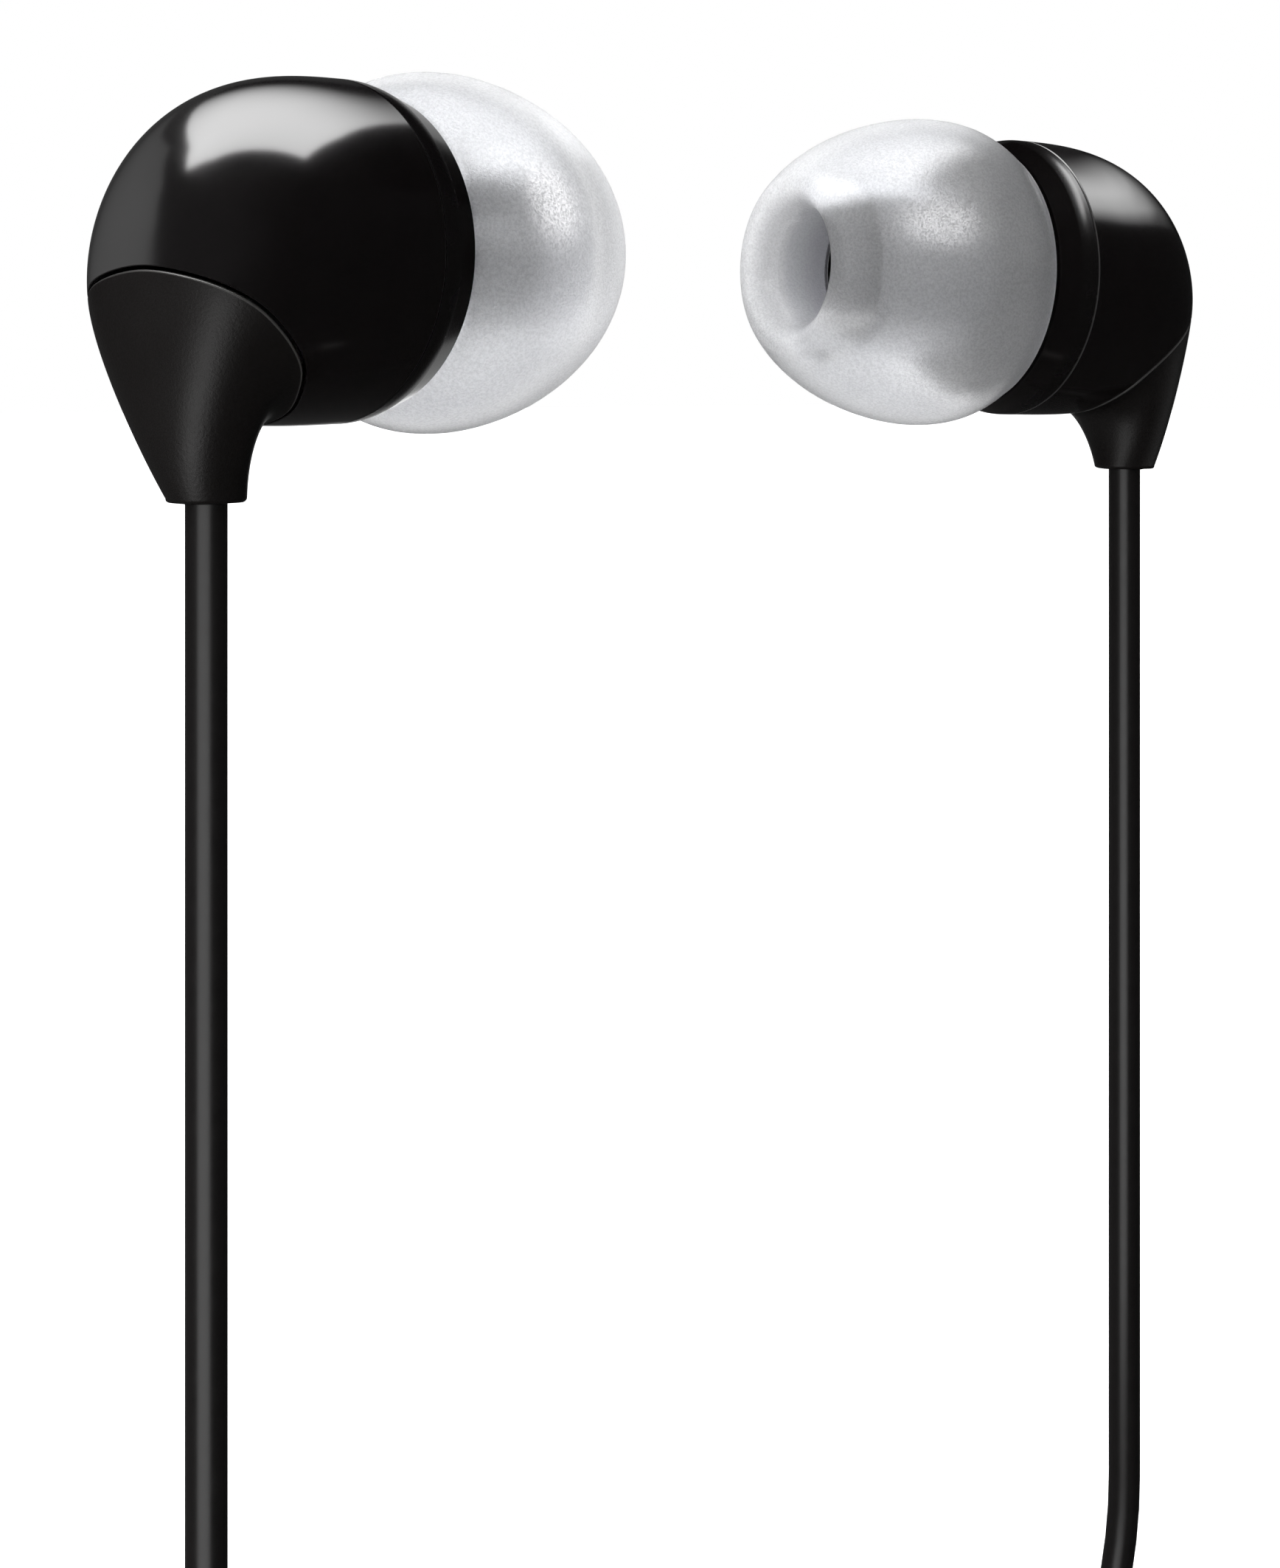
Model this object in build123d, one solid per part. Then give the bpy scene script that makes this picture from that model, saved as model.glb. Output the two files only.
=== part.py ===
from build123d import *
import math
import os

# Wired in-ear earphones: two earbuds held face to face, their two cords hanging straight down
# to a surface, and the rest of the cable wound into one coil there. Millimetres.
# +X runs from the wearer's left ear to the right one, +Y is forward, +Z is up.
# The origin lies midway between the seams of the two earbuds.

# Where the earbuds are
bud_spacing = 34.2  # from seam to seam, centre to centre
toe_in = 9.5  # each sound axis points this many degrees forward of the line between the ears
nose_up = 1.4  # and this many degrees upwards

# Earbud housing, along its own sound axis: u is 0 at the seam and positive towards the ear
housing_r = 5.80
dome_depth = 7.84
dome_power = 2.84  # how square the dome's outline is: 2 is an ellipse
dome_drop = 2.92  # the dome's crown lies this far below the sound axis
shell_wall = 0.90
band_len = 0.52  # plain black band in front of the seam
ring_len = 1.16  # bevelled bright ring in front of the band
ring_r = 5.43
ring_face = 0.95  # the flat face in front of the ring is this wide
face_len = 1.30  # the conical face from there to the nozzle
spigot_len = 1.20
spigot_wall = 0.55
shell_fit = 0.03  # clearance between the two halves of the housing
throat_len = 0.30  # how far the narrowing in front of the driver runs

# Nozzle
nozzle_r = 2.40
nozzle_bore_r = 1.70
nozzle_len = 4.65
lip_r = 2.55
lip_len = 0.70
mesh_r = 2.00
mesh_t = 0.15
mesh_seat = 0.30
mesh_hole_r = 0.17
mesh_pitch = 0.62

# Silicone ear tip
tip_r = 6.315
tip_mid = 4.99  # where the tip is widest
tip_rim_fit = 0.17  # its rear rim closes in to this far in front of the ring's flat face
tip_rim_rise = 0.07  # and lies this far outside the ring
tip_rim_t = 0.40
tip_rear_power = 2.65  # how late its skirt closes in towards that rim
tip_nose = 7.41  # from the widest place forward to where its outline would close
tip_power = (1.69, 2.43)
tip_lip = 11.0  # where its outline begins to roll over into the sound hole
tip_lip_rise = 0.24
tip_front = 10.42  # the edge of the sound hole
tip_hole_r = 2.36
tip_wall = 0.50
tip_core_wall = 0.70
tip_bore_fit = 0.07
tip_core_back = 0.35  # from the nozzle's root to the core's rear end
tip_stop = 0.30  # from the nozzle's end to the step in the bore

# Strain relief under the dome
neck_end = -8.05
cord_u = -5.933
cord_side = 0.81  # the cord leaves this far behind the sound axis
neck_round = 0.18
neck_blend = 0.9  # fillet where the neck leaves the dome
# height, back and front along the sound axis, half width
neck_sections = [
    (-2.50, -7.62, -2.20, 4.55),
    (-4.00, -7.80, -3.70, 3.62),
    (-5.00, -7.88, -4.33, 2.90),
    (-6.70, -7.65, -4.67, 2.02),
    (neck_end, cord_u - 1.22, cord_u + 1.22, 1.22),
]
# side outline of the joint between the rear cap and the strain relief
parting_line = [
    (-9.5, 0.9),
    (-7.8, -0.63),
    (-5.35, -2.95),
    (-4.34, -4.02),
    (-3.92, -4.86),
    (-3.6, -5.4),
    (-3.2, -6.5),
]

# Dynamic driver, as wide as the housing lets it be
driver_fit = 0.07  # between its frame and the housing
frame_len = 1.20
frame_wall = 0.45
frame_floor = 0.40
frame_ledge = 0.12  # the ledge that carries the membrane's flat rim
membrane_above_floor = 0.25
gasket_t = 0.30
gasket_w = 0.75
cover_t = 0.15
cover_hole_r = 0.40
cover_holes = 6  # around the one in the middle
yoke_share = 0.68  # the magnet system's radius over the driver's
yoke_wall = 0.45
yoke_len = 1.90
pole_gap = 0.50
magnet_t = 0.90
pole_t = 0.40
voice_t = 0.18
voice_len = 1.00
diaphragm_t = 0.10
diaphragm_rise = 0.30
surround_rise = 0.22
felt_t = 0.25
board_t = 0.50
board_share = (1.17, 0.62)  # its width and height over the magnet system's radius
board_z = -0.6
wire_d = 0.45
crimp_r = 1.05
crimp_len = 1.50
crimp_z = -3.9

# Cords
branch_d = 1.35
main_d = 1.80
surface_z = -70.0  # what the cable lies on

# Coil of the put-away cable: the main cord below, the two branches on top of it
coil_centre = (0.0, -16.0)
main_coil_r = (8.2, 16.8)  # centre lines of its innermost and outermost turns
branch_coil_r = (7.5, 14.9)
coil_round = 0.6

# Splitter, where the branches join
splitter_at = (-3.4, -29.2)
splitter_len = 12.5
splitter_w = 5.2
splitter_t = 4.0
splitter_main_w = 3.6
branch_gap = 2.1  # between the centre lines of the two branches where they enter
splitter_bore = 3.0
splitter_crimp_r = 1.35
splitter_crimp_len = 3.5
splitter_round = 0.9

# 3.5 mm stereo plug, lying beside the coil and pointing along +X
plug_at = (-4.5, -37.6)
boot_len = 6.0
boot_r = (1.45, 2.15)
boot_grooves = 3
boot_groove = 0.5
boot_cord = 3.0  # how far the cord reaches into it
grip_len = 15.0
grip_r = 3.0
grip_end_r = 2.6
grip_round = 0.4
pin_r = 1.75
pin_len = 14.0
sleeve_len = 6.2
ring_contact_len = 2.0
insulator_len = 0.7
rod_r = 0.45
tube_wall = 0.22  # of each contact and insulator inside the pin
sleeve_root_r = 1.5  # the sleeve inside the handle
grip_nose = 1.0  # the handle's own wall in front of the core
core_len = 9.0
core_r = 2.2
contact_tail = 3.0  # the sleeve reaches this far back inside the core
tail_step = 0.5  # and each contact or insulator within it this much further


def turned(*outline):
    """A body turned about the sound axis from its (along, radius) corners."""
    return revolve(Plane.XZ * make_face(Polyline(*outline, close=True)), Axis.X)


def tube(start, end, outer, inner):
    """A plain ring or tube along the sound axis."""
    return turned((start, inner), (end, inner), (end, outer), (start, outer))


def disc(start, end, radius):
    """A plain disc or rod along the sound axis."""
    return turned((start, 0), (end, 0), (end, radius), (start, radius))


# ---------------------------------------------------------------- housing

seat_r = housing_r - shell_wall  # inside of the rear cap
cavity_r = seat_r - shell_fit - spigot_wall  # inside of the front shell
shoulder_u = frame_len + gasket_t - 0.3  # the gasket's seat in the front shell
ring_u = band_len + ring_len
root_u = ring_u + face_len
nozzle_u = root_u + nozzle_len
mesh_u = nozzle_u - mesh_seat
rim_u = ring_u + tip_rim_fit + tip_rim_t / 2  # the ear tip's rear rim


def dome(radius, depth):
    """The dome behind the seam: circles that shrink towards a crown below the sound axis."""
    sections = []
    for angle in (0, 3, 7, 14, 25, 38, 50, 61, 71, 79, 85):
        along = depth * math.sin(math.radians(angle)) ** (2 / dome_power)
        share = math.cos(math.radians(angle)) ** (2 / dome_power)
        at = Plane(origin=(-along, 0, -dome_drop * (1 - share)), z_dir=(-1, 0, 0))
        sections.append(at * Circle(radius * share))
    return loft(sections)


def neck_outline(height, back, front, half_width):
    """One oval cross-section of the strain relief."""
    top = neck_sections[0][0]
    side = -cord_side * (top - height) / (top - neck_end)
    middle, reach = (back + front) / 2, (front - back) / 2
    around = [math.radians(a) for a in range(0, 360, 30)]
    points = [(middle + reach * math.cos(a), side + half_width * math.sin(a), height) for a in around]
    return make_face(Spline(*points, periodic=True))


def below_parting():
    """Everything below and behind the joint between rear cap and strain relief."""
    line = Spline(*parting_line)
    low = 2 * neck_end
    start, end = parting_line[0], parting_line[-1]
    rest = Polyline(end, (end[0], low), (start[0], low), start)
    return extrude(Plane.XZ * make_face([line, rest]), amount=2 * housing_r, both=True)


def rear_cap_and_relief():
    """The glossy rear cap, and the strain relief moulded to its underside."""
    crown = dome(housing_r, dome_depth)
    neck = loft([neck_outline(*section) for section in neck_sections])
    outside = crown + neck
    outside = fillet(new_edges(crown, neck, combined=outside), neck_blend)
    foot = outside.edges().filter_by_position(Axis.Z, neck_end - 0.01, neck_end + 0.01)
    outside = fillet(foot, neck_round)
    crimp_seat = Pos(cord_u, -cord_side, crimp_z + crimp_len) * Cylinder(crimp_r, 3 * crimp_len)
    cavity = dome(seat_r, dome_depth - shell_wall) + crimp_seat
    below = below_parting()
    return (outside - cavity) - below, (outside - cavity) & below


def front_shell():
    """The front half of the housing, with its spigot, bevelled ring and nozzle."""
    spigot_r = seat_r - shell_fit
    return turned(
        (-spigot_len, cavity_r),
        (-spigot_len, spigot_r),
        (0, spigot_r),
        (0, housing_r),
        (band_len, housing_r),
        (ring_u, ring_r),
        (ring_u, ring_r - ring_face),
        (root_u, nozzle_r),
        (nozzle_u - lip_len, nozzle_r),
        (nozzle_u - 0.75 * lip_len, lip_r),
        (nozzle_u - 0.35 * lip_len, lip_r),
        (nozzle_u, nozzle_r),
        (nozzle_u, mesh_r),
        (mesh_u, mesh_r),
        (mesh_u, nozzle_bore_r),
        (root_u, nozzle_bore_r),
        (shoulder_u + throat_len, cavity_r - 1.5 * gasket_w),
        (shoulder_u, cavity_r - gasket_w),
        (shoulder_u, cavity_r),
    )


def nozzle_mesh():
    """The round mesh that keeps wax out of the nozzle: holes in the middle and in two rings."""
    mesh = disc(mesh_u, mesh_u + mesh_t, mesh_r)
    for ring, count in ((0, 1), (1, 6), (2, 12)):
        for k in range(count):
            turn = Pos(mesh_u, 0, 0) * Rot(X=360 * k / count) * Pos(0, 0, ring * mesh_pitch)
            mesh -= turn * Rot(Y=90) * Cylinder(mesh_hole_r, 1)
    return mesh


def tip_radius(along):
    """The ear tip's outer radius at a place between its rear rim and its lip."""
    if along >= tip_mid:
        share = (along - tip_mid) / tip_nose
        return tip_r * (1 - share ** tip_power[0]) ** (1 / tip_power[1])
    share = (tip_mid - along) / (tip_mid - rim_u)
    return tip_r - (tip_r - ring_r - tip_rim_rise) * share**tip_rear_power


def tip_way(along, step=0.01):
    """The direction of that outline."""
    return (2 * step, tip_radius(along + step) - tip_radius(along - step))


def tip_outline(start, end, count):
    """Points of that outline."""
    stations = [start + (end - start) * k / count for k in range(count + 1)]
    return [(along, tip_radius(along)) for along in stations]


def ear_tip():
    """The silicone tip: a thin skirt folded back over a core that sits on the nozzle."""
    bore = lip_r + tip_bore_fit
    core = bore + tip_core_wall
    rear_u = root_u + tip_core_back
    stop_u = nozzle_u + tip_stop
    rear = tip_outline(rim_u, tip_mid, 3)
    front = tip_outline(tip_mid, tip_lip, 5)
    rim_r = rear[0][1]
    apex = (tip_lip + tip_lip_rise, 0.6 * front[-1][1] + 0.4 * tip_hole_r)
    web_u = tip_mid + 0.7 * (tip_lip - tip_mid)
    inside = [(rim_u, rim_r - tip_rim_t)]
    inside += [(along, radius - tip_wall) for along, radius in rear[1:]]
    inside += [(along, radius - 1.5 * tip_wall) for along, radius in front[1:3]]
    inside += [(front[3][0], core + 0.25)]
    edges = [
        Spline(*rear, tangents=[tip_way(rim_u), (1, 0)]),
        Spline(*front, tangents=[(1, 0), tip_way(tip_lip)]),
        Spline(front[-1], apex, (tip_front, tip_hole_r), tangents=[tip_way(tip_lip), (-1, 0)]),
        Polyline((tip_front, tip_hole_r), (stop_u, tip_hole_r), (stop_u, bore), (rear_u, bore)),
        Polyline((rear_u, bore), (rear_u, core), (web_u, core), inside[-1]),
        Spline(*inside[::-1], tangents=[(-0.6, 0.8), (-1, -0.6)]),
        ThreePointArc(inside[0], (rim_u - tip_rim_t / 2, rim_r - tip_rim_t / 2), (rim_u, rim_r)),
    ]
    return revolve(Plane.XZ * make_face(edges), Axis.X)


# ---------------------------------------------------------------- driver

driver_r = cavity_r - driver_fit
frame_in = driver_r - frame_wall
yoke_r = yoke_share * driver_r
pole_r = yoke_r - yoke_wall - pole_gap
voice_r = pole_r + (pole_gap + voice_t) / 2
front_u = shoulder_u - gasket_t  # front of the driver's frame
back_u = front_u - frame_len
yoke_front = back_u + frame_floor
yoke_back = yoke_front - yoke_len
magnet_u = yoke_back + yoke_wall
pole_u = magnet_u + magnet_t
membrane_u = yoke_front + membrane_above_floor
board_w, board_h = (share * yoke_r for share in board_share)


def driver_frame():
    """The driver's basket, a shallow cup with an opening for the magnet system."""
    ledge_r = frame_in - frame_ledge
    return turned(
        (back_u, yoke_r),
        (yoke_front, yoke_r),
        (yoke_front, ledge_r),
        (membrane_u, ledge_r),
        (membrane_u, frame_in),
        (front_u, frame_in),
        (front_u, driver_r),
        (back_u, driver_r),
    )


def diaphragm():
    """The thin domed membrane with its half-round surround."""
    inner = voice_r + voice_t
    rim = frame_in - 2 * frame_ledge
    middle = (inner + rim) / 2
    rear, front = membrane_u, membrane_u + diaphragm_t
    edges = [
        Spline((rear + diaphragm_rise, 0), (rear, inner), tangents=[(0, 1), (-0.5, 1)]),
        ThreePointArc((rear, inner), (rear + surround_rise, middle), (rear, rim)),
        Polyline((rear, rim), (rear, frame_in), (front, frame_in), (front, rim)),
        ThreePointArc((front, rim), (front + surround_rise, middle), (front, inner)),
        Spline((front, inner), (front + diaphragm_rise, 0), tangents=[(0.5, -1), (0, -1)]),
        Line((front + diaphragm_rise, 0), (rear + diaphragm_rise, 0)),
    ]
    return revolve(Plane.XZ * make_face(edges), Axis.X)


def driver_cover():
    """The perforated plate that closes the driver's front."""
    plate = disc(front_u - cover_t, front_u, frame_in)
    hole = Rot(Y=90) * Cylinder(cover_hole_r, 1)
    for k in range(cover_holes):
        plate -= Rot(X=360 * k / cover_holes) * Pos(front_u, 0, 0.62 * frame_in) * hole
    return plate - Pos(front_u, 0, 0) * hole


def yoke():
    """The steel cup around the magnet."""
    inner = yoke_r - yoke_wall
    return turned(
        (yoke_back, 0),
        (yoke_back, yoke_r),
        (yoke_front, yoke_r),
        (yoke_front, inner),
        (magnet_u, inner),
        (magnet_u, 0),
    )


def terminal_board():
    """The little board on the yoke that the cord's wires are soldered to."""
    return Pos(yoke_back - board_t / 2, 0, board_z) * Box(board_t, board_w, board_h)


def crimp():
    """The collar on the cord's end that stops it from pulling out."""
    return Pos(cord_u, -cord_side, crimp_z) * Cylinder(crimp_r, crimp_len)


def wire(side):
    """One of the two wires from the cord's end to the board."""
    top = crimp_z + crimp_len / 2
    pad_y = side * 0.28 * board_w
    pad_u = yoke_back - board_t
    path = FilletPolyline(
        (cord_u, -cord_side + side * 0.3, top),
        (cord_u + 0.3, pad_y, top + 1.1),
        (pad_u - 2 * wire_d, pad_y, board_z),
        (pad_u, pad_y, board_z),
        radius=0.4,
    )
    return sweep(Plane(path @ 0, z_dir=path % 0) * Circle(wire_d / 2), path=path)


def bud_pieces():
    """Every piece of one earbud in its own frame, sound axis along +X."""
    cap, relief = rear_cap_and_relief()
    return {
        "rear_cap": cap,
        "strain_relief": relief,
        "front_shell": front_shell(),
        "nozzle_mesh": nozzle_mesh(),
        "ear_tip": ear_tip(),
        "driver_gasket": tube(front_u, shoulder_u, cavity_r, cavity_r - gasket_w),
        "driver_cover": driver_cover(),
        "driver_frame": driver_frame(),
        "diaphragm": diaphragm(),
        "voice_coil": tube(membrane_u - voice_len, membrane_u, voice_r, voice_r - voice_t),
        "pole_plate": disc(pole_u, pole_u + pole_t, pole_r),
        "magnet": disc(magnet_u, pole_u, pole_r),
        "yoke": yoke(),
        "damping_felt": tube(back_u - felt_t, back_u, frame_in, yoke_r),
        "terminal_board": terminal_board(),
        "cord_crimp": crimp(),
        "inner_wire": wire(1),
        "outer_wire": wire(-1),
    }


# ---------------------------------------------------------------- cords

bud_place = Pos(-bud_spacing / 2, 0, 0) * Rot(Z=toe_in) * Rot(Y=-nose_up)
crimp_top = bud_place * Pos(cord_u, -cord_side, crimp_z + crimp_len / 2)
neck_foot = bud_place * Pos(cord_u, -cord_side, neck_end)
cord_x, cord_y = neck_foot.position.X, neck_foot.position.Y
main_layer = surface_z + 2 * main_d  # top of the main cord's coil
branch_layer = main_layer + 2 * branch_d  # top of the branches' coil
splitter_z = branch_layer + splitter_t / 2
plug_z = surface_z + grip_r


def on_coil(radius, azimuth, height):
    """A point on a turn of the coil."""
    angle = math.radians(azimuth)
    return (coil_centre[0] + radius * math.cos(angle), coil_centre[1] + radius * math.sin(angle), height)


low, high = main_layer + branch_d / 2, branch_layer - branch_d / 2
splitter_x, splitter_y = splitter_at
routes = {
    "left_cord": (
        branch_d,
        [
            (cord_x, cord_y, crimp_top.position.Z),
            (cord_x, cord_y, -54.0),
            (-21.8, -4.6, -60.3),
            (-19.6, -9.4, -64.5),
            (-16.5, -15.7, low + 0.2),
            on_coil(14.8, 204, low),
        ],
    ),
    "right_cord": (
        branch_d,
        [
            (-cord_x, cord_y, crimp_top.position.Z),
            (-cord_x, cord_y, -55.2),
            (19.6, -1.7, -61.4),
            (14.0, -1.9, -64.6),
            (7.2, -2.0, low + 0.2),
            on_coil(14.3, 89, low),
        ],
    ),
    "left_branch_end": (
        branch_d,
        [
            on_coil(14.9, 215, high),
            (-9.9, -27.5, high + 0.3),
            (-6.9, -29.4, high + 1.5),
            (splitter_x - 0.35, splitter_y - branch_gap / 2, splitter_z),
            (splitter_x + splitter_bore, splitter_y - branch_gap / 2, splitter_z),
        ],
    ),
    "right_branch_end": (
        branch_d,
        [
            on_coil(13.4, 209, high),
            (-10.0, -25.4, high + 0.3),
            (-7.5, -27.4, high + 1.4),
            (splitter_x - 0.7, splitter_y + branch_gap / 2, splitter_z),
            (splitter_x + splitter_bore, splitter_y + branch_gap / 2, splitter_z),
        ],
    ),
    "main_lead": (
        main_d,
        [
            (splitter_x + splitter_len - splitter_bore, splitter_y, splitter_z),
            (splitter_x + splitter_len + 1.05, splitter_y, splitter_z),
            (14.8, -27.5, splitter_z - 0.95),
            (18.2, -23.8, splitter_z - 2.95),
            (19.35, -18.6, splitter_z - 5.2),
            (17.9, -13.2, surface_z + main_d / 2 + 0.5),
            on_coil(16.8, 30, surface_z + main_d / 2),
        ],
    ),
    "main_tail": (
        main_d,
        [
            on_coil(16.8, 180, surface_z + 1.5 * main_d),
            (-17.6, -21.6, surface_z + 2.6),
            (-17.0, -27.1, surface_z + 2.5),
            (-14.5, -32.1, surface_z + 2.5),
            (-10.3, -35.9, surface_z + 2.7),
            (plug_at[0] - 0.9, plug_at[1], plug_z),
            (plug_at[0] + boot_cord, plug_at[1], plug_z),
        ],
    ),
}


def corner_radii(points):
    """The largest tangent arc that the two runs at each corner leave room for."""
    radii = []
    for before, corner, after in zip(points, points[1:], points[2:]):
        run_in, run_out = Vector(*corner) - Vector(*before), Vector(*after) - Vector(*corner)
        half_turn = math.radians(run_in.get_angle(run_out)) / 2
        radii.append(0.45 * min(run_in.length, run_out.length) / math.tan(half_turn))
    return radii


def cord_tube(name):
    """One free stretch of cord: straight runs joined by tangent arcs."""
    diameter, points = routes[name]
    radii = corner_radii(points)
    path = FilletPolyline(*points, radius=radii)
    print(name, "length", round(path.length, 1), "radii", [round(r, 1) for r in radii])
    section = Plane(origin=path @ 0, z_dir=path % 0) * Circle(diameter / 2)
    return sweep(section, path=path)


def coil_ring(radii, diameter, bottom):
    """The closed outer shape of two layers of turns."""
    inner, outer = radii[0] - diameter / 2, radii[1] + diameter / 2
    height = 2 * diameter
    ring = Cylinder(outer, height) - Cylinder(inner, height)
    ring = fillet(ring.edges().filter_by(GeomType.CIRCLE), coil_round)
    return Pos(coil_centre[0], coil_centre[1], bottom + height / 2) * ring


# ---------------------------------------------------------------- splitter


def splitter():
    """The moulded piece where both branches join the main cord, and the crimp inside it."""
    half = splitter_len / 2
    outline = [
        (-half, -splitter_w / 2),
        (0.1 * half, -splitter_w / 2),
        (half, -splitter_main_w / 2),
        (half, splitter_main_w / 2),
        (0.1 * half, splitter_w / 2),
        (-half, splitter_w / 2),
    ]
    body = extrude(Plane.XY * make_face(Polyline(*outline, close=True)), amount=splitter_t / 2, both=True)
    body = fillet(body.edges().filter_by(GeomType.LINE), splitter_round)
    pocket = Rot(Y=90) * Cylinder(splitter_crimp_r, splitter_crimp_len)
    place = Pos(splitter_x + half, splitter_y, splitter_z)
    return place * (body - pocket), place * pocket


# ---------------------------------------------------------------- plug

grip_start = boot_len
pin_start = grip_start + grip_len
sleeve_end = pin_start + sleeve_len
ring_start = sleeve_end + insulator_len
ring_end = ring_start + ring_contact_len
tip_start = ring_end + insulator_len
pin_end = pin_start + pin_len
core_end = pin_start - grip_nose


def plug_boot():
    """The plug's strain relief: a slim taper with bending grooves."""
    outline = [(0, 0), (0, boot_r[0])]
    for k in range(1, boot_grooves + 1):
        share = k / (boot_grooves + 1)
        at = share * boot_len
        r = boot_r[0] + share * (boot_r[1] - boot_r[0])
        rear, front = at - boot_groove / 2, at + boot_groove / 2
        outline += [(rear, r), (rear, r - boot_groove), (front, r - boot_groove), (front, r)]
    outline += [(boot_len, boot_r[1]), (boot_len, 0)]
    return turned(*outline)


def plug_grip():
    """The plug's handle, closed over the moulded core."""
    waist_u = grip_start + grip_round
    widest_u = pin_start - grip_round
    side = [(waist_u, grip_end_r), (grip_start + 0.55 * grip_len, grip_r - 0.05), (widest_u, grip_r)]
    edges = [
        Polyline((grip_start, 0), (grip_start, grip_end_r - grip_round)),
        RadiusArc((grip_start, grip_end_r - grip_round), (waist_u, grip_end_r), grip_round),
        Spline(*side, tangents=[(1, 0), (1, 0)]),
        RadiusArc((widest_u, grip_r), (pin_start, grip_r - grip_round), grip_round),
        Polyline(
            (pin_start, grip_r - grip_round),
            (pin_start, sleeve_root_r),
            (core_end, sleeve_root_r),
            (core_end, core_r),
            (core_end - core_len, core_r),
            (core_end - core_len, 0),
            (grip_start, 0),
        ),
    ]
    return revolve(Plane.XZ * make_face(edges), Axis.X)


def pin_part(order, head_start, head_end, outer=None):
    """A thin tube around the ones within it, with a head as wide as the pin."""
    inner = rod_r + order * tube_wall
    outer = outer or inner + tube_wall
    back = core_end - contact_tail - (3 - order) * tail_step
    return turned(
        (back, inner),
        (head_end, inner),
        (head_end, pin_r),
        (head_start, pin_r),
        (head_start, outer),
        (back, outer),
    )


def pin_tip():
    """The tip contact: a rod through the whole pin and the notched cone at its end."""
    length = pin_end - tip_start
    profile = [(0, 0.94), (0.42, 0.68), (0.62, 0.94), (0.70, 0.94), (0.97, 0.30), (1.0, 0.15)]
    cone = [(tip_start + along * length, share * pin_r) for along, share in profile]
    back = core_end - contact_tail - 4 * tail_step
    return turned((back, 0), (back, rod_r), (tip_start, rod_r), *cone, (pin_end, 0))


def plug_contacts():
    """The pin: three coaxial contacts kept apart by two insulators, in a moulded core."""
    contacts = {
        "plug_tip_contact": pin_tip(),
        "plug_front_insulator": pin_part(0, ring_end, tip_start),
        "plug_ring_contact": pin_part(1, ring_start, ring_end),
        "plug_rear_insulator": pin_part(2, sleeve_end, ring_start),
        "plug_sleeve_contact": pin_part(3, pin_start, sleeve_end, outer=sleeve_root_r),
    }
    core = disc(core_end - core_len, core_end, core_r) - list(contacts.values())
    return {**contacts, "plug_core": core}


# ---------------------------------------------------------------- assembly


def all_pieces():
    """Every piece in its place, by name."""
    pieces = {}
    cords = {name: cord_tube(name) for name in routes}
    for name, solid in bud_pieces().items():
        left = bud_place * solid
        right = mirror(left, about=Plane.YZ)
        if name in ("strain_relief", "cord_crimp"):
            left -= cords["left_cord"]
            right -= cords["right_cord"]
        pieces["left_" + name] = left
        pieces["right_" + name] = right
    pieces.update(cords)
    pieces["main_coil"] = coil_ring(main_coil_r, main_d, surface_z)
    pieces["branch_coil"] = coil_ring(branch_coil_r, branch_d, main_layer)
    body, pieces["splitter_crimp"] = splitter()
    pieces["splitter"] = body - cords["left_branch_end"] - cords["right_branch_end"] - cords["main_lead"]
    plug_place = Pos(*plug_at, plug_z)
    plug = {"plug_boot": plug_boot(), "plug_grip": plug_grip(), **plug_contacts()}
    for name, solid in plug.items():
        pieces[name] = plug_place * solid
    pieces["plug_boot"] -= cords["main_tail"]
    return pieces


os.makedirs("parts", exist_ok=True)
for piece_name, piece in all_pieces().items():
    export_step(piece, "parts/" + piece_name + ".step")
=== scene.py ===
import math

import bpy
from mathutils import Matrix, Vector


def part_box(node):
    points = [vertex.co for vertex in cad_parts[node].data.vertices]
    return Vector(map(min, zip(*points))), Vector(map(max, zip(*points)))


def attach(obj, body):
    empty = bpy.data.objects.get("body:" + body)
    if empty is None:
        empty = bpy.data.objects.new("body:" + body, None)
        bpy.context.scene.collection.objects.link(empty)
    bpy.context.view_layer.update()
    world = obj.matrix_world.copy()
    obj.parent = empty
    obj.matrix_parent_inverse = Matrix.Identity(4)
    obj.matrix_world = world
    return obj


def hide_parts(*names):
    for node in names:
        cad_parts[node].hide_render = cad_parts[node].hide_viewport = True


bl_info = {
    "name": "Wired In-Ear Earphones",
    "version": (1, 0, 0),
    "blender": (4, 5, 0),
    "location": "View3D > Sidebar > Earphones",
    "description": "Glossy earbuds with silicone tips on thin cords, and the coil and plug of their cable",
    "category": "Object",
}

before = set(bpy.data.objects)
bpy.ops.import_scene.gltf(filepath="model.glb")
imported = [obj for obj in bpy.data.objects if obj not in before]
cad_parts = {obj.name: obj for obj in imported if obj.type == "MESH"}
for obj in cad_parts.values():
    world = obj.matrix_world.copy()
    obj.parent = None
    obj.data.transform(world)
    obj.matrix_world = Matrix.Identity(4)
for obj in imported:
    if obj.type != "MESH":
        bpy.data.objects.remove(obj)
MM = 0.001
SIDES = ("left", "right")
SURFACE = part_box("main_coil")[0][2]  # what the cable lies on


# ---------------------------------------------------------------- sizes and colours


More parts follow.
